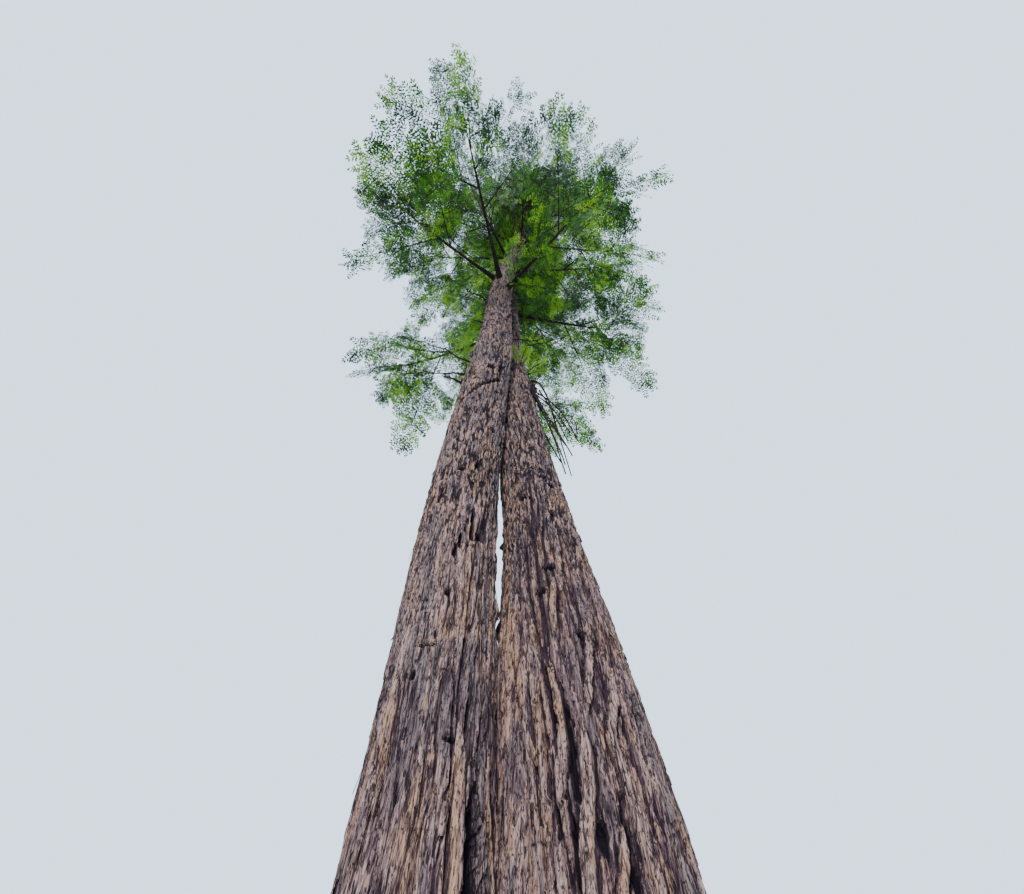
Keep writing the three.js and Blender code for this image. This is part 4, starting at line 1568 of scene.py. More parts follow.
def fronds_of_mass(mass, number):
    """The twigs of one mass, and its fronds: one at each end and some beside each twig."""
    draw = make_random(SEED + 1 + number)
    twigs = twig_ends(mass, draw)
    tip, along = (part[0] for part in bezier(mass.controls, [1.0]))
    length = mass.spread * END_SPRAY_SHARE
    fronds = [frond_at(tip - along * TWIG_OVERLAP * length, along, length, 0, draw)]
    length = mass.spread * SPRAY_SHARE
    for i, (start, end) in enumerate(twigs):
        along = normalised(end - start)
        fronds.append(frond_at(end - along * TWIG_OVERLAP * length, along, length, 0, draw))
        for place, share, sign in SIDE_SPRAYS:
            turn = SIDE_SPRAY_TURN * sign * (1 if i % 2 else -1)
            beside = turned_about_up(along, turn) - UP * TWIG_HANG
            fronds.append(frond_at(start + (end - start) * place, beside, length * share, 1, draw))
    return twigs, fronds


INNER_FRONDS = 5
INNER_SHARES = (0.16, 0.92)  # of the bare part of a bough
INNER_LENGTH = 0.62  # of the spread of the bough's mass
INNER_LEAN = 0.8  # how far they point along the bough
INNER_HANG = 0.45
OPEN_BOUGHS = 2  # the lowest boughs that stay bare
OPEN_FRONT = -0.72  # boughs that point further to the viewer than this stay bare too


def inner_fronds(boughs):
    """Shorter fronds on the bare part of every bough but those that stand clear in the front."""
    draw = make_random(SEED + 100)
    fronds = []
    for bough in boughs[OPEN_BOUGHS:]:
        heading = normalised((bough.controls[-1] - bough.controls[0])[:2])
        if not bough.tier.bare or heading[1] < OPEN_FRONT:
            continue
        for i in range(INNER_FRONDS):
            place = between(INNER_SHARES, (i + draw()) / INNER_FRONDS)
            point, along, side, under = frame_at(bough.controls, bough.tier.bare * place)
            turn = math.radians(i * GOLDEN_ANGLE + TWIG_STRAY * draw())
            outward = side * math.cos(turn) + under * math.sin(turn)
            heading = normalised(along * INNER_LEAN + outward - UP * INNER_HANG)
            fronds.append(frond_at(point, heading, bough.tier.spread * INNER_LENGTH, 1, draw))
    return fronds


STEM_FRONDS = {"left": (19.0, 38.0, 48), "right": (15.5, 34.3, 40)}  # lowest, highest, how many
STEM_FROND_LENGTHS = (1.6, 1.15)  # at the lowest and at the highest
STEM_FROND_RISE = 0.25
STEM_FROND_ROOT = 0.9  # share of the stem's radius at which they start
OPEN_TOP = 27.0  # below this height the front of a stem stays bare


def stem_fronds():
    """Fronds that grow straight out of the upper stems, all round but in the front."""
    draw = make_random(SEED + 200)
    fronds = []
    for stem in STEMS:
        *heights, count = STEM_FRONDS[stem.name]
        for i in range(count):
            share = (i + draw()) / count
            height = between(heights, share)
            angle = math.radians(i * GOLDEN_ANGLE + TWIG_STRAY * draw())
            if height < OPEN_TOP and math.sin(angle) < 0:
                angle = -angle
            root, out = in_bark(stem, height, angle, STEM_FROND_ROOT)
            heading = normalised(out + UP * STEM_FROND_RISE)
            fronds.append(frond_at(root, heading, between(STEM_FROND_LENGTHS, share), 1, draw))
    return fronds


# Between these places and heights the crown thins out to a lace over the viewer, with painted haze on its
# sprays
LACE_SIDES = (-2.4, -1.2)
LACE_FRONTS = (-1.2, -3.2)
LACE_HEIGHTS = (15.5, 19.0)
LACE_GAPS = 0.4  # share of its sprays that are left out
LACE_SIZE = 0.72  # of its sprays, against those elsewhere
LACE_HAZE = 0.95  # share of its sprays that are hazy


def lace(points):
    """How far the crown has thinned out, from 0 to 1."""
    share = 1.0
    for i, ends in enumerate((LACE_SIDES, LACE_FRONTS, LACE_HEIGHTS)):
        share = share * climbed(points[..., i], ends)
    return share


def is_inside(points):
    """True where points lie inside the solids' box, with a little room."""
    low, high = (np.array(corner) for corner in cad_box)
    room = BOX_ALLOWANCE * (high - low)
    return np.all((points > low - room) & (points < high + room), axis=-1)


def gathered(fronds):
    """All fronds as arrays. One that would leave the solids' box is shortened."""
    fronds = Shoots(*(np.array(part) for part in zip(*fronds)))
    for _ in range(SHORTENING_STEPS):
        tips = frond_line(fronds, np.ones(1))[:, 0]
        fronds.length[~is_inside(tips)] *= SHORTENING
    return fronds


def frond_line(fronds, shares):
    """Points along the middle line of every frond, which droops towards its tip."""
    level = np.hypot(fronds.along[:, 0], fronds.along[:, 1])
    hang = FROND_DROOP * fronds.length * level
    bent = np.clip((shares - FROND_MIDDLE) / (1 - FROND_MIDDLE), 0, None) ** 2
    straight = fronds.root[:, None] + fronds.along[:, None] * (fronds.length[:, None] * shares)[..., None]
    return straight - UP * (hang[:, None] * bent)[..., None]


# Half outline of a frond: share of its length, share of its half width
FROND_OUTLINE = ((0.0, 0.12, 0.3, 0.68, 1.0), (0.35, 0.75, 0.95, 0.82, 0.3))
BRANCHLET_LEAN = math.radians(50)
BRANCHLET_SAG = 0.16
BRANCHLET_RADIUS = 0.0055
BRANCHLET_TAPER = (1.0, 0.7, 0.3)
BRANCHLET_SIDES = 3
BRANCHLET_PLACES = (0.06, 0.95)
FROND_RADIUS = 0.012
FROND_TIP = 0.25
FROND_RINGS = 6
FROND_SIDES = 4
SPRAY_LEAN = math.radians(42)
SPRAY_SAG = 0.22
SPRAY_PLACES = (0.22, 1.0)
SIZE_HEIGHTS = (15.0, 38.0)  # between these heights the sprays grow larger
SPRAY_GROWTH = (0.9, 1.15)


def branchlets_of(fronds, count, chance):
    """Root, direction, length and upper side of the branchlets of every frond."""
    shape = (len(fronds.length), count)
    shares = np.linspace(*BRANCHLET_PLACES, count) + chance.uniform(-0.02, 0.02, shape)
    sign = np.where(np.arange(count) % 2, 1.0, -1.0)
    lean = BRANCHLET_LEAN * chance.uniform(0.8, 1.2, shape) * (1 - 0.45 * shares)
    width = np.interp(shares, *FROND_OUTLINE) * FROND_WIDTH / 2
    length = fronds.length[:, None] * width / np.sin(BRANCHLET_LEAN) * chance.uniform(0.7, 1.15, shape)
    normal = np.cross(fronds.along, fronds.side)[:, None]
    heading = (
        fronds.along[:, None] * np.cos(lean)[..., None]
        + fronds.side[:, None] * (sign * np.sin(lean))[..., None]
        + normal * chance.uniform(-0.22, 0.22, shape)[..., None]
    )
    root = frond_line(fronds, shares)
    normal = np.broadcast_to(normal, root.shape)
    return root, normalised(heading), length, normal


def branchlet_line(root, heading, length, shares):
    """Points along branchlets, which sag a little."""
    reach = length[..., None] * shares
    sag = BRANCHLET_SAG * length[..., None] * shares**2
    return root[..., None, :] + heading[..., None, :] * reach[..., None] - UP * sag[..., None]


FIRST_NEEDLE = 0.1  # places on a spray, as shares of its length
NEEDLE_RUN = 0.82
TIP_NEEDLE = 0.97
LONGEST_NEEDLE = 0.4
NEEDLE_LEANS = (46, 62)  # degrees
WIDEST_PLACE = 0.45  # share of a needle's length


def needle_template(settings, chance):
    """One spray of unit length along X: flat needles in two ranks, and one at the tip."""
    needles = []
    needle = settings.needle_share
    half = needle * settings.needle_width / 2
    pairs = settings.pairs
    places = [(FIRST_NEEDLE + NEEDLE_RUN * i / (pairs - 1), sign) for i in range(pairs) for sign in (-1, 1)]
    for place, sign in places + [(TIP_NEEDLE, 0)]:
        lean = math.radians(chance.uniform(*NEEDLE_LEANS)) * sign
        size = needle * (1.05 - 0.5 * abs(place - LONGEST_NEEDLE)) * chance.uniform(0.85, 1.1)
        along = np.array((math.cos(lean), math.sin(lean), chance.uniform(-0.25, 0.1)))
        side = np.array((-math.sin(lean), math.cos(lean), chance.uniform(-0.5, 0.5)))
        start = np.array((place + chance.uniform(-0.02, 0.02), 0.0, 0.0))
        middle = start + along * size * WIDEST_PLACE
        needles.append((start, middle + side * half, start + along * size, middle - side * half))
    return np.array(needles).reshape(-1, 3)


SPRAY_KINDS = 4
PIECE_FACES = 190000


def faces_of_spray(settings):
    """Faces of one spray: two for each needle, in pairs and one at the tip."""
    return 2 * (2 * settings.pairs + 1)


def sprays_of(fronds, branchlets, settings, chance):
    """The sprays along both sides of every branchlet and at its tip."""
    root, heading, length, normal = branchlets
    count = settings.sprays
    shares = np.linspace(*SPRAY_PLACES, count) + chance.uniform(-0.05, 0.05, (*length.shape, count))
    shares[..., -1] = 1.0
    start = branchlet_line(root, heading, length, shares)
    sign = np.where(np.arange(count) % 2, 1.0, -1.0)
    sign[-1] = 0.0
    lean = sign * SPRAY_LEAN * chance.uniform(0.75, 1.3, shares.shape)
    lateral = np.cross(normal, heading)
    along = (
        heading[..., None, :] * np.cos(lean)[..., None]
        + lateral[..., None, :] * np.sin(lean)[..., None]
        + normal[..., None, :] * chance.uniform(-0.3, 0.3, shares.shape)[..., None]
        - UP * SPRAY_SAG * chance.uniform(0.3, 1.4, shares.shape)[..., None]
    )
    along = normalised(along)
    tilt = normal[..., None, :] + chance.uniform(-0.5, 0.5, along.shape)
    side = normalised(np.cross(tilt, along))
    size = settings.spray_share * fronds.length[:, None, None] * chance.uniform(0.75, 1.15, shares.shape)
    size = size * np.interp(start[..., 2], SIZE_HEIGHTS, SPRAY_GROWTH) * (1 - (1 - LACE_SIZE) * lace(start))
    return Shoots(start.reshape(-1, 3), along.reshape(-1, 3), side.reshape(-1, 3), size.ravel())


STEM_CLEARANCE = 0.04


def is_clear(sprays):
    """True where a spray stays off the stems and inside the solids' box."""
    middle = sprays.root + sprays.along * sprays.length[:, None] / 2
    tip = sprays.root + sprays.along * sprays.length[:, None]
    clear = is_inside(tip)
    for stem in STEMS:
        height = np.clip(middle[:, 2], 0, stem.tip)
        off = np.linalg.norm(middle[:, :2] - stem_middle(stem, height)[:, :2], axis=1)
        radius = measure(stem, STATION_DIAMETER, height) / 2
        clear &= (off > radius + STEM_CLEARANCE) | (middle[:, 2] > stem.tip)
    return clear


def placed(template, sprays):
    """A template laid on every spray's own place, direction and side."""
    normal = np.cross(sprays.along, sprays.side)
    axes = np.stack((sprays.along, sprays.side, normal), 1) * sprays.length[:, None, None]
    return sprays.root[:, None] + np.einsum("nvi,nij->nvj", template, axes)


def needles_surface(sprays, templates):
    """All needles of some sprays, two faces each."""
    kinds = np.arange(len(sprays.length)) % len(templates)
    points = placed(templates[kinds], sprays)
    needles = points.reshape(-1, 4, 3)
    index = np.arange(len(needles) * 4).reshape(-1, 4)
    return Surface(needles.reshape(-1, 3), [index[:, [0, 1, 2]], index[:, [0, 2, 3]]])


TWIGLET_RADIUS = 0.014  # share of a spray's length
# Share of the spray's length, share of the radius
TWIGLET_OUTLINE = ((-0.04, -1.0), (-0.04, 1.0), (0.6, 0.7), (0.98, 0.0))


def twiglets_surface(sprays):
    """The thin pointed stem of every spray, two faces each."""
    template = np.array([(place, TWIGLET_RADIUS * side, 0.0) for place, side in TWIGLET_OUTLINE])
    points = placed(np.broadcast_to(template, (len(sprays.length), 4, 3)), sprays)
    index = np.arange(len(points) * 4).reshape(-1, 4)
    grain = np.broadcast_to(template, points.shape).reshape(-1, 3)
    return Surface(points.reshape(-1, 3), [index[:, [0, 2, 1]], index[:, [0, 3, 2]]], {"grain": grain})


def limb_rods(masses, twigs, fronds, branchlets):
    """The stems of the masses, their twigs, the fronds' middle lines and the branchlets."""
    surfaces = []
    for mass in masses:
        shares = np.linspace(mass.start, 1.0, AXIS_RINGS)
        points, _ = bezier(mass.controls, shares)
        radii = mass.root_radius * np.linspace(1.0, AXIS_TIP, AXIS_RINGS)
        surfaces.append(rods(points[None], radii, AXIS_SIDES))
    ends = np.array(twigs)
    shares = np.linspace(0, 1, TWIG_RINGS)[:, None]
    span = ends[:, 1] - ends[:, 0]
    sag = TWIG_SAG * np.linalg.norm(span, axis=1)[:, None, None] * 4 * shares * (1 - shares)
    paths = ends[:, :1] + span[:, None] * shares - UP * sag
    surfaces.append(rods(paths, TWIG_RADIUS * np.linspace(*TWIG_ENDS, TWIG_RINGS), TWIG_SIDES))
    paths = frond_line(fronds, np.linspace(0, 1, FROND_RINGS))
    surfaces.append(rods(paths, FROND_RADIUS * np.linspace(1, FROND_TIP, FROND_RINGS), FROND_SIDES))
    root, heading, length, _ = branchlets
    rings = len(BRANCHLET_TAPER)
    paths = branchlet_line(root, heading, length, np.linspace(0, 1, rings)).reshape(-1, rings, 3)
    surfaces.append(rods(paths, BRANCHLET_RADIUS * np.array(BRANCHLET_TAPER), BRANCHLET_SIDES))
    return joined(surfaces)


# Lit and shaded tints of the same needles: deep is painted shade, bright and yellow are painted light
TINTS = ("deep", "middle", "bright", "yellow")
TINT_SHARES = (0.28, 0.57, 0.82)  # of the sprays that are no brighter than each of the first tints
HAZY = "hazy"
# The hazy tint is painted haze of the bright sky
HAZY_HEIGHTS = (29.0, 35.0)  # between these heights the sprays turn hazy
HAZY_SHARE = 0.6
CLUMP_SIZE = 0.9
CLUMP_WEIGHT = 0.55
# Painted shade: needles are painted darker towards the top, where they stand against the bright sky
SHADE_HEIGHTS = (25.0, 36.0)  # needles darken between these heights
SHADE = 0.42
SPRIG_TOP = 12.3  # below this height all sprays are young and yellow green


def brightness(sprays, chance):
    """Painted light and shade of each spray: lit and shaded clumps in space, darker towards the top, and some
    chance.
    """
    x, y, z = (sprays.root / CLUMP_SIZE).T
    period = math.ceil(TREE_HEIGHT / CLUMP_SIZE)
    clumps = noise(x, z, period, SEED) + noise(y, z, period, SEED + 1) + noise(x, y, period, SEED + 2)
    shade = SHADE * climbed(sprays.root[:, 2], SHADE_HEIGHTS)
    return CLUMP_WEIGHT * clumps + chance.uniform(-0.5, 0.5, len(z)) - shade


def tints_of(sprays, chance):
    """The name of every spray's tint: its painted light and shade, its painted haze, or the yellow green of
    the young sprigs.
    """
    score = brightness(sprays, chance)
    edges = np.quantile(score, TINT_SHARES)
    tint = np.array(TINTS)[np.searchsorted(edges, score)]
    haze = HAZY_SHARE * climbed(sprays.root[:, 2], HAZY_HEIGHTS)
    haze = np.maximum(haze, LACE_HAZE * lace(sprays.root))
    tint = np.where(sprays.root[:, 2] < SPRIG_TOP, "yellow", tint)
    return np.where(chance.uniform(size=len(haze)) < haze, HAZY, tint)


SPRIG_PLACES = (  # young fronds low on the right stem: height, direction in degrees, lean up, length
    (11.10, -35, 0.1, 0.50),
    (11.35, -62, 0.3, 0.42),
    (11.45, -88, 0.2, 0.40),
    (11.30, -14, 0.3, 0.45),
    (11.60, -45, 0.6, 0.40),
)
SPRIG_ROOT = 0.97  # share of the stem's radius at which they start


def sprig_fronds():
    """Young bright fronds that grow straight out of the right stem's bark."""
    draw = make_random(SEED)
    fronds = []
    for height, direction, lean, length in SPRIG_PLACES:
        root, out = in_bark(RIGHT_STEM, height, math.radians(direction), SPRIG_ROOT)
        fronds.append(frond_at(root, normalised(out + UP * lean), length, 1, draw))
    return fronds


class REDWOOD_OT_foliage(Operator):
    """Grows twigs, fronds and sprays of needles from every bough and from the tops of the stems"""

    bl_idname = "redwood.foliage"
    bl_label = "Twigs and needles"

    def execute(self, context):
        settings = context.scene.redwood_needles
        wood = context.scene.redwood_boughs
        chance = np.random.default_rng(SEED)
        boughs = plan_boughs()
        masses = plan_masses(boughs)
        twigs, fronds = [], sprig_fronds() + inner_fronds(boughs) + stem_fronds()
        for number, mass in enumerate(masses):
            mass_twigs, mass_fronds = fronds_of_mass(mass, number)
            twigs += mass_twigs
            fronds += mass_fronds
        fronds = gathered(fronds)
        branchlets = branchlets_of(fronds, settings.branchlets, chance)
        sprays = sprays_of(fronds, branchlets, settings, chance)
        is_grown = chance.uniform(size=len(sprays.length)) >= LACE_GAPS * lace(sprays.root)
        sprays = sprays.kept(is_clear(sprays) & is_grown)
        nodes = nodes_named("foliage_")
        twig = wood_material("twig_bark", wood.twig_colour, 140.0, 8.0, 0.5)
        add_piece("twigs", limb_rods(masses, twigs, fronds, branchlets), twig, nodes)
        add_piece("twiglets", twiglets_surface(sprays), twig, nodes, is_smooth=False)
        templates = np.array([needle_template(settings, chance) for _ in range(SPRAY_KINDS)])
        tint = tints_of(sprays, chance)
        for name in (*TINTS, HAZY):
            material = needle_material(f"needles_{name}", getattr(settings, f"{name}_colour"))
            places = np.flatnonzero(tint == name)
            parts = math.ceil(len(places) * faces_of_spray(settings) / PIECE_FACES)
            for part in range(parts):
                surface = needles_surface(sprays.kept(places[part::parts]), templates)
                piece = f"needles_{name}_{part + 1}"
                add_piece(piece, surface, material, nodes, is_smooth=False)
        return {"FINISHED"}


# Dead wood: the hanging limb, stubs and bare twigs


DEAD_LIMB_POINTS = (
    (0.085, 0.64, 10.65),
    (0.50, 0.53, 10.62),
    (0.68, 0.43, 9.70),
    (0.77, 0.38, 8.30),
    (0.86, 0.33, 6.80),
)
DEAD_LIMB_RADII = (0.030, 0.008)
DEAD_LIMB_RINGS = 30
DEAD_LIMB_SIDES = 7
DEAD_STRANDS = 8
STRAND_ROOT = (0.42, 0.50, 10.15)
STRAND_FEET = ((0.70, 0.36, 6.90), (1.04, 0.34, 8.10))
STRAND_STRAY = 0.06
STRAND_BEND = 0.05
STRAND_RINGS = 14
STRAND_SIDES = 5
STRAND_WAVER = 0.004
STRAND_RADII = (0.018, 0.011)


def smooth_path(points, count):
    """Points on a smooth curve through a few points."""
    points = np.array(points, float)
    ghost = np.concatenate((2 * points[:1] - points[1:2], points, 2 * points[-1:] - points[-2:-1]))
    place = np.linspace(0, len(points) - 1, count)
    i = np.minimum(place.astype(int), len(points) - 2)
    t = (place - i)[:, None]
    before, start, end, after = (ghost[i + k] for k in range(4))
    return 0.5 * (
        2 * start
        + (end - before) * t
        + (2 * before - 5 * start + 4 * end - after) * t**2
        + (3 * start - before - 3 * end + after) * t**3
    )


def dead_limb_surfaces(chance):
    """The dead limb, and thinner straight strands that hang beside it from the lump in the bark."""
    main = smooth_path(DEAD_LIMB_POINTS, DEAD_LIMB_RINGS)
    surfaces = [rods(main[None], np.linspace(*DEAD_LIMB_RADII, DEAD_LIMB_RINGS), DEAD_LIMB_SIDES)]
    first, last = np.array(STRAND_FEET)
    share = np.linspace(0, 1, STRAND_RINGS)[:, None]
    for i in range(DEAD_STRANDS):
        root = STRAND_ROOT + chance.normal(0, STRAND_STRAY, 3)
        foot = first + (last - first) * (i + chance.uniform()) / DEAD_STRANDS
        foot = foot + chance.normal(0, STRAND_STRAY, 3)
        bend = STRAND_BEND * chance.normal(0, 1, 3) * np.sin(math.pi * share)
        path = root + (foot - root) * share + bend + chance.normal(0, STRAND_WAVER, (STRAND_RINGS, 3))
        surfaces.append(rods(path[None], np.linspace(*STRAND_RADII, STRAND_RINGS), STRAND_SIDES))
    return surfaces


@dataclass(frozen=True)
class DeadBranch:
    """A bare branch: where it leaves its stem, its length, its rise and its thickness."""

    stem: Stem
    height: float
    direction: float
    length: float
    rise: float
    radius: float


DEAD_BRANCHES = (
    DeadBranch(LEFT_STEM, 10.1, -160, 1.5, 0.9, 0.020),
    DeadBranch(LEFT_STEM, 9.6, -172, 1.3, -0.3, 0.020),
    DeadBranch(LEFT_STEM, 9.1, -165, 0.45, 0.1, 0.030),
    DeadBranch(RIGHT_STEM, 13.6, -8, 1.5, 0.5, 0.022),
    DeadBranch(LEFT_STEM, 11.6, -6, 0.9, 0.25, 0.020),
    DeadBranch(LEFT_STEM, 14.8, -4, 0.30, 0.12, 0.040),
    DeadBranch(LEFT_STEM, 13.5, -20, 0.22, 0.10, 0.036),
    DeadBranch(LEFT_STEM, 12.6, -165, 0.35, 0.15, 0.030),
    DeadBranch(LEFT_STEM, 14.2, -150, 1.2, 0.3, 0.020),
    DeadBranch(RIGHT_STEM, 12.5, 60, 1.6, 0.2, 0.024),
    DeadBranch(RIGHT_STEM, 14.4, 110, 1.3, 0.3, 0.024),
    DeadBranch(RIGHT_STEM, 11.4, 135, 0.8, 0.1, 0.026),
    DeadBranch(RIGHT_STEM, 13.2, 170, 1.4, 0.1, 0.024),
)
DEAD_ROOT = 0.85  # share of the stem's radius at which a bare branch starts
DEAD_RINGS = 14
DEAD_SIDES = 7
DEAD_TIP = 0.22  # thickness at the tip, as a share of that at the root
DEAD_WANDER = 0.018
DEAD_BEND = 1.4
STUB_LENGTH = 0.5  # a branch up to this long has no side twigs
SIDE_TWIGS = 5
SIDE_TWIG_LENGTH = 0.28  # share of its branch's length
SIDE_TWIG_RINGS = 6
SIDE_TWIG_SIDES = 4
SIDE_TWIG_RADII = (0.4, 0.12)  # shares of its branch's radius
SIDE_TWIG_WAVER = 0.006
STUBS = 30
STUB_HEIGHTS = (11.0, 26.0)
STUB_LENGTHS = (0.10, 0.28)
STUB_RADII = (0.02, 0.04)
STUB_CROWDING = 0.65  # under one, more of them stand higher up
FAN_BRANCHES = 24
FAN_HEIGHTS = (21.5, 29.5)
FAN_DIRECTIONS = (-125, -35)
FAN_LENGTHS = (1.0, 2.6)
FAN_RISE = 1.1
FAN_RADIUS = 0.020


def dead_branch_surfaces(branch, chance):
    """A crooked bare branch with a few side twigs."""
    start, out = in_bark(branch.stem, branch.height, math.radians(branch.direction), DEAD_ROOT)
    across = np.array((-out[1], out[0], 0.0))
    share = np.linspace(0, 1, DEAD_RINGS)[:, None]
    wander = np.cumsum(chance.normal(0, DEAD_WANDER, (DEAD_RINGS, 2)), axis=0) * branch.length
    lift = branch.rise * share**DEAD_BEND
    path = start + out * branch.length * share + UP * lift + across * wander[:, :1] + UP * wander[:, 1:]
    surfaces = [rods(path[None], branch.radius * np.linspace(1, DEAD_TIP, DEAD_RINGS), DEAD_SIDES)]
    if branch.length > STUB_LENGTH:
        for place in chance.choice(np.arange(4, DEAD_RINGS - 1), SIDE_TWIGS, replace=False):
            heading = out + across * chance.uniform(-1.2, 1.2) + UP * chance.uniform(-0.3, 0.5)
            steps = np.linspace(0, 1, SIDE_TWIG_RINGS)[:, None]
            twig = path[place] + normalised(heading) * steps * branch.length * SIDE_TWIG_LENGTH
            twig = twig + chance.normal(0, SIDE_TWIG_WAVER, twig.shape)
            radii = np.linspace(*SIDE_TWIG_RADII, SIDE_TWIG_RINGS) * branch.radius
            surfaces.append(rods(twig[None], radii, SIDE_TWIG_SIDES))
    return surfaces


def stub_surfaces(chance):
    """Short broken stubs all round the front stem."""
    surfaces = []
    for i in range(STUBS):
        share = ((i + chance.uniform()) / STUBS) ** STUB_CROWDING
        height = between(STUB_HEIGHTS, share)
        length = chance.uniform(*STUB_LENGTHS)
        direction = math.degrees(chance.uniform(-math.pi, math.pi))
        radius = chance.uniform(*STUB_RADII)
        branch = DeadBranch(LEFT_STEM, height, direction, length, length / 2, radius)
        surfaces += dead_branch_surfaces(branch, chance)
    return surfaces


def fan_surfaces(chance):
    """Thin bare branches that rise steeply from the upper part of the front stem."""
    surfaces = []
    for i in range(FAN_BRANCHES):
        height = between(FAN_HEIGHTS, i / (FAN_BRANCHES - 1))
        direction = chance.uniform(*FAN_DIRECTIONS)
        length = chance.uniform(*FAN_LENGTHS)
        branch = DeadBranch(LEFT_STEM, height, direction, length, length * FAN_RISE, FAN_RADIUS)
        surfaces += dead_branch_surfaces(branch, chance)
    return surfaces


class REDWOOD_OT_dead_wood(Operator):
    """Hangs the dead limb beside the right stem and sets dead stubs and bare branches"""

    bl_idname = "redwood.dead_wood"
    bl_label = "Dead wood"

    def execute(self, context):
        settings = context.scene.redwood_boughs
        chance = np.random.default_rng(SEED + 1)
        material = wood_material("dead_branch_wood", settings.dead_colour, 90.0, 12.0, 0.5)
        limb = joined(dead_limb_surfaces(chance))
        add_piece("dead_limb_strands", limb, material, ["dead_limb"])
        surfaces = []
        for branch in DEAD_BRANCHES:
            surfaces += dead_branch_surfaces(branch, chance)
        surfaces += stub_surfaces(chance) + fan_surfaces(chance)
        add_piece("bare_branches", joined(surfaces), material, ["dead_limb"])
        return {"FINISHED"}


# Loose strips of bark


FLAKE_HEIGHTS = (0.4, 13.0)
FLAKE_CROWDING = 1.6  # over one, more of them hang lower down
FLAKE_RINGS = 8
FLAKE_LENGTHS = (0.18, 0.75)
FLAKE_WIDTHS = (0.018, 0.05)
FLAKE_THICKNESSES = (0.003, 0.007)
FLAKE_CURLS = (0.004, 0.022)
FLAKE_LEAN = 0.05


def flake_surface(stem, chance, settings):
    """One loose strip: its top is sunk in the bark and its foot curls away."""
    foot = between(FLAKE_HEIGHTS, chance.uniform() ** FLAKE_CROWDING)
    length = chance.uniform(*FLAKE_LENGTHS)
    lean = chance.normal(0, FLAKE_LEAN)
    around = chance.uniform()
    radius = float(measure(stem, STATION_DIAMETER, foot)) / 2
    share = np.linspace(0, 1, FLAKE_RINGS)
    height = foot + length * share
    middle = around + lean * share / (2 * math.pi * radius)
    width = chance.uniform(*FLAKE_WIDTHS) * (0.35 + 0.65 * np.sin(math.pi * (0.12 + 0.8 * share)))
    thickness = chance.uniform(*FLAKE_THICKNESSES)
    curl = chance.uniform(*FLAKE_CURLS) * (1 - share) ** 2
    relief = bark_relief(stem, middle, height, settings)
    level = np.convolve(np.pad(relief.offset, 2, mode="edge"), np.ones(5) / 5, mode="valid")
    corners = []
    for side, depth in ((-1, 0), (1, 0), (1, 1), (-1, 1)):
        angle = 2 * math.pi * middle + side * width / radius / 2
        sink = 0.014 * share - 0.006 + depth * thickness
        distance = stem_radius(stem, height, angle) + level + curl - sink
        corners.append(stem_middle(stem, height) + directions_at(angle) * distance[:, None])
    points = np.stack(corners, 1)
    index = np.arange(FLAKE_RINGS * 4).reshape(FLAKE_RINGS, 4)
    tone = np.full(FLAKE_RINGS * 4, chance.uniform(0.2, 1.0))
    values = {
        # Painted light: each loose strip is painted lighter by a chance amount, as a raised strip
        "proud": np.full(FLAKE_RINGS * 4, chance.uniform(0.5, 0.9)),
        "furrow": np.zeros(FLAKE_RINGS * 4),
        "tone": tone,
        "warmth": np.full(FLAKE_RINGS * 4, chance.uniform()),
        "grain": points.reshape(-1, 3),
    }
    faces = [ring_faces(index), index[:1, ::-1], index[-1:]]
    return Surface(points.reshape(-1, 3), faces, values)


class REDWOOD_OT_flakes(Operator):
    """Hangs loose strips of bark on both stems"""

    bl_idname = "redwood.flakes"
    bl_label = "Loose strips"

    def execute(self, context):
        settings = context.scene.redwood_bark
        material = bpy.data.materials.get("redwood_bark")
        if material is None:
            raise RuntimeError("the bark comes before its loose strips")
        chance = np.random.default_rng(SEED + 2)
        for stem in STEMS:
            surfaces = [flake_surface(stem, chance, settings) for _ in range(settings.flakes)]
            name = f"loose_strips_{stem.name}"
            add_piece(name, joined(surfaces), material, [f"stem_{stem.name}"])
        return {"FINISHED"}


# Stage


EYE = (0.0, -3.7, 1.0)
VIEW_PITCH = math.radians(58.6)
FOCAL_PIXELS = 487  # focal length in pixels of the photograph
PHOTO_WIDTH = 1024
SENSOR_WIDTH = 36.0
FLOOR_RADIUS = 380.0
FLOOR_SIDES = 96
FLOOR_SHADE = 0.97
FLOOR_DROP = 0.003
CLIP_END = 900.0
FRONT_LIGHT_PLACE = (-9.0, -60.0, 40.0)
FRONT_LIGHT_SPREAD = math.radians(16)
FRONT_LIGHT_COLOUR = (1.0, 0.93, 0.84)
BACK_LIGHT_PLACE = (50.0, 42.0, 44.0)
BACK_LIGHT_SPREAD = math.radians(30)
BACK_LIGHT_COLOUR = (0.92, 0.96, 1.0)
LIGHT_AIM = (0.0, 0.0, 12.0)


def aimed(place, aim):
    """Rotation that turns a camera or light at one place towards another."""
    direction = normalised(np.array(aim) - np.array(place))
    yaw = math.atan2(-direction[0], direction[1])
    pitch = math.acos(-direction[2])
    return (pitch, 0.0, yaw)


def add_light(name, place, spread, strength, colour):
    """Even light from one side of the sky, as wide as its spread."""
    light = bpy.data.lights.new(name, "SUN")
    light.color = colour
    light.angle = spread
    light.energy = strength
    lamp = add_object(name, light)
    lamp.location = place
    lamp.rotation_euler = aimed(place, LIGHT_AIM)


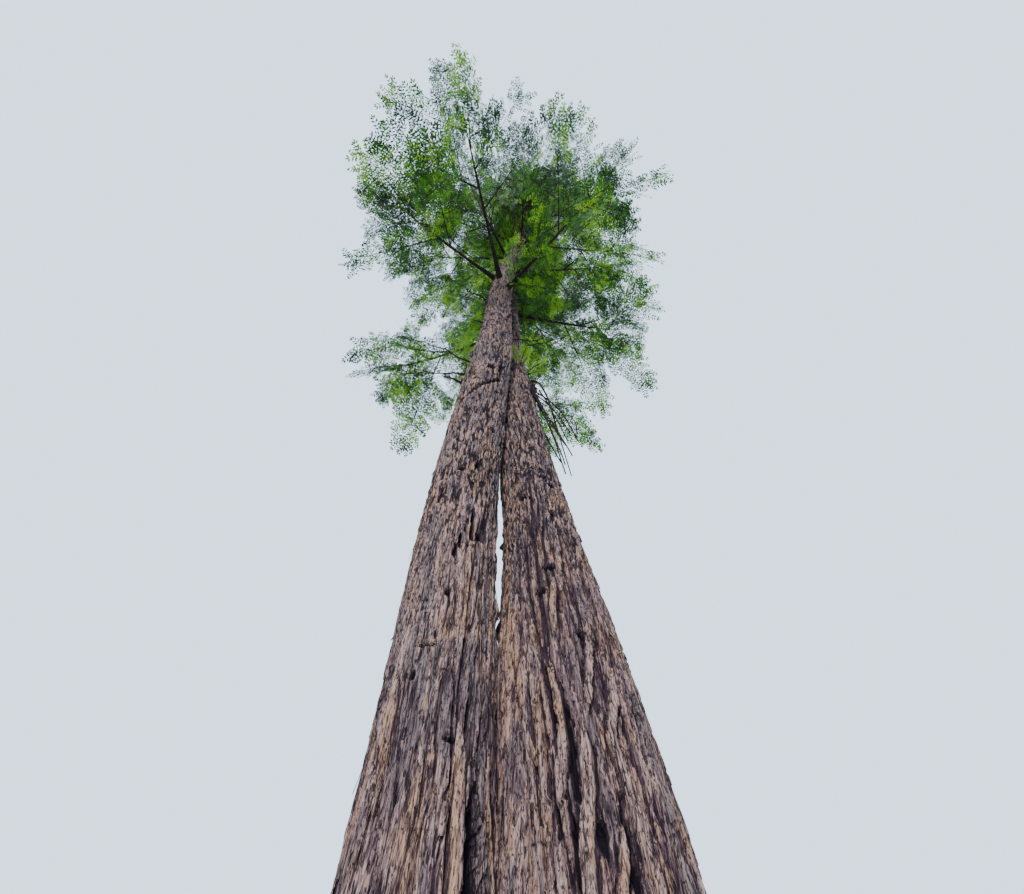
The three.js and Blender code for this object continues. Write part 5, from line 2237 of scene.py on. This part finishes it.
def add_floor(settings):
    turn = 2 * math.pi * np.arange(FLOOR_SIDES) / FLOOR_SIDES
    rim = directions_at(turn) * FLOOR_RADIUS - UP * FLOOR_DROP
    mesh = to_mesh("floor", Surface(rim, [np.arange(FLOOR_SIDES)[None]]), False)
    floor = add_object("floor", mesh)
    material, tree, shader = new_material("floor", 0.8, FLOOR_GLOSS)
    place = add_node(tree, "ShaderNodeTexCoord").outputs["Object"]
    patch = add_group(tree, cloud_group(), place, Fineness=0.17, Start=0.2, End=0.8).outputs["Patch"]
    colour = settings.floor_colour
    feed(tree, shader.inputs["Base Color"], blend_colours(tree, patch, shaded(colour, FLOOR_SHADE), colour))
    mesh.materials.append(material)


def pale_world(settings):
    """Even pale light from all round, and a brighter pale backdrop behind the tree."""
    world = bpy.data.worlds.new("pale_surroundings")
    world.use_nodes = True
    tree = world.node_tree
    tree.nodes.clear()
    inputs = {"Fac": add_node(tree, "ShaderNodeLightPath").outputs["Is Camera Ray"]}
    for socket, strength in ((1, settings.sky_strength), (2, settings.backdrop_strength)):
        values = {"Color": settings.sky_colour, "Strength": strength}
        inputs[socket] = add_node(tree, "ShaderNodeBackground", values).outputs[0]
    mixed = add_node(tree, "ShaderNodeMixShader", inputs)
    add_node(tree, "ShaderNodeOutputWorld", {"Surface": mixed.outputs[0]})
    return world


class REDWOOD_OT_stage(Operator):
    """Sets the plain floor, the soft light and the camera at the foot of the tree"""

    bl_idname = "redwood.stage"
    bl_label = "Stage"

    def execute(self, context):
        settings = context.scene.redwood_stage
        add_floor(settings)
        context.scene.world = pale_world(settings)
        add_light(
            "front_light", FRONT_LIGHT_PLACE, FRONT_LIGHT_SPREAD, settings.front_strength, FRONT_LIGHT_COLOUR
        )
        add_light(
            "back_light", BACK_LIGHT_PLACE, BACK_LIGHT_SPREAD, settings.back_strength, BACK_LIGHT_COLOUR
        )
        camera = bpy.data.cameras.new("camera")
        camera.sensor_width = SENSOR_WIDTH
        camera.lens = FOCAL_PIXELS * SENSOR_WIDTH / PHOTO_WIDTH
        camera.clip_end = CLIP_END
        viewer = add_object("camera", camera)
        viewer.location = EYE
        viewer.rotation_euler = (math.pi / 2 + VIEW_PITCH, 0.0, 0.0)
        context.scene.camera = viewer
        return {"FINISHED"}


class REDWOOD_PT_sidebar(Panel):
    """Lists the steps that build the tree, with their sizes and colours"""

    bl_idname = "REDWOOD_PT_sidebar"
    bl_label = "Redwood"
    bl_space_type = "VIEW_3D"
    bl_region_type = "UI"
    bl_category = "Redwood"

    def draw(self, context):
        layout = self.layout
        for operator in STEPS:
            layout.operator(operator.bl_idname)
        for key, group in SETTINGS.items():
            settings = getattr(context.scene, key)
            box = layout.box()
            for name in group.__annotations__:
                box.prop(settings, name)


STEPS = (
    REDWOOD_OT_stage,
    REDWOOD_OT_bark,
    REDWOOD_OT_flakes,
    REDWOOD_OT_boughs,
    REDWOOD_OT_foliage,
    REDWOOD_OT_dead_wood,
)
SETTINGS = {
    "redwood_bark": BarkSettings,
    "redwood_boughs": BoughSettings,
    "redwood_needles": NeedleSettings,
    "redwood_stage": StageSettings,
}


def register():
    for group in SETTINGS.values():
        bpy.utils.register_class(group)
    for key, group in SETTINGS.items():
        setattr(bpy.types.Scene, key, PointerProperty(type=group))
    for step in STEPS:
        bpy.utils.register_class(step)
    bpy.utils.register_class(REDWOOD_PT_sidebar)


def unregister():
    bpy.utils.unregister_class(REDWOOD_PT_sidebar)
    for step in reversed(STEPS):
        bpy.utils.unregister_class(step)
    for key in SETTINGS:
        delattr(bpy.types.Scene, key)
    for group in reversed(SETTINGS.values()):
        bpy.utils.unregister_class(group)


def main():
    register()
    bpy.ops.redwood.stage()
    bpy.ops.redwood.bark()
    bpy.ops.redwood.flakes()
    bpy.ops.redwood.boughs()
    bpy.ops.redwood.foliage()
    bpy.ops.redwood.dead_wood()
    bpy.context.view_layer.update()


if __name__ == "__main__":
    main()
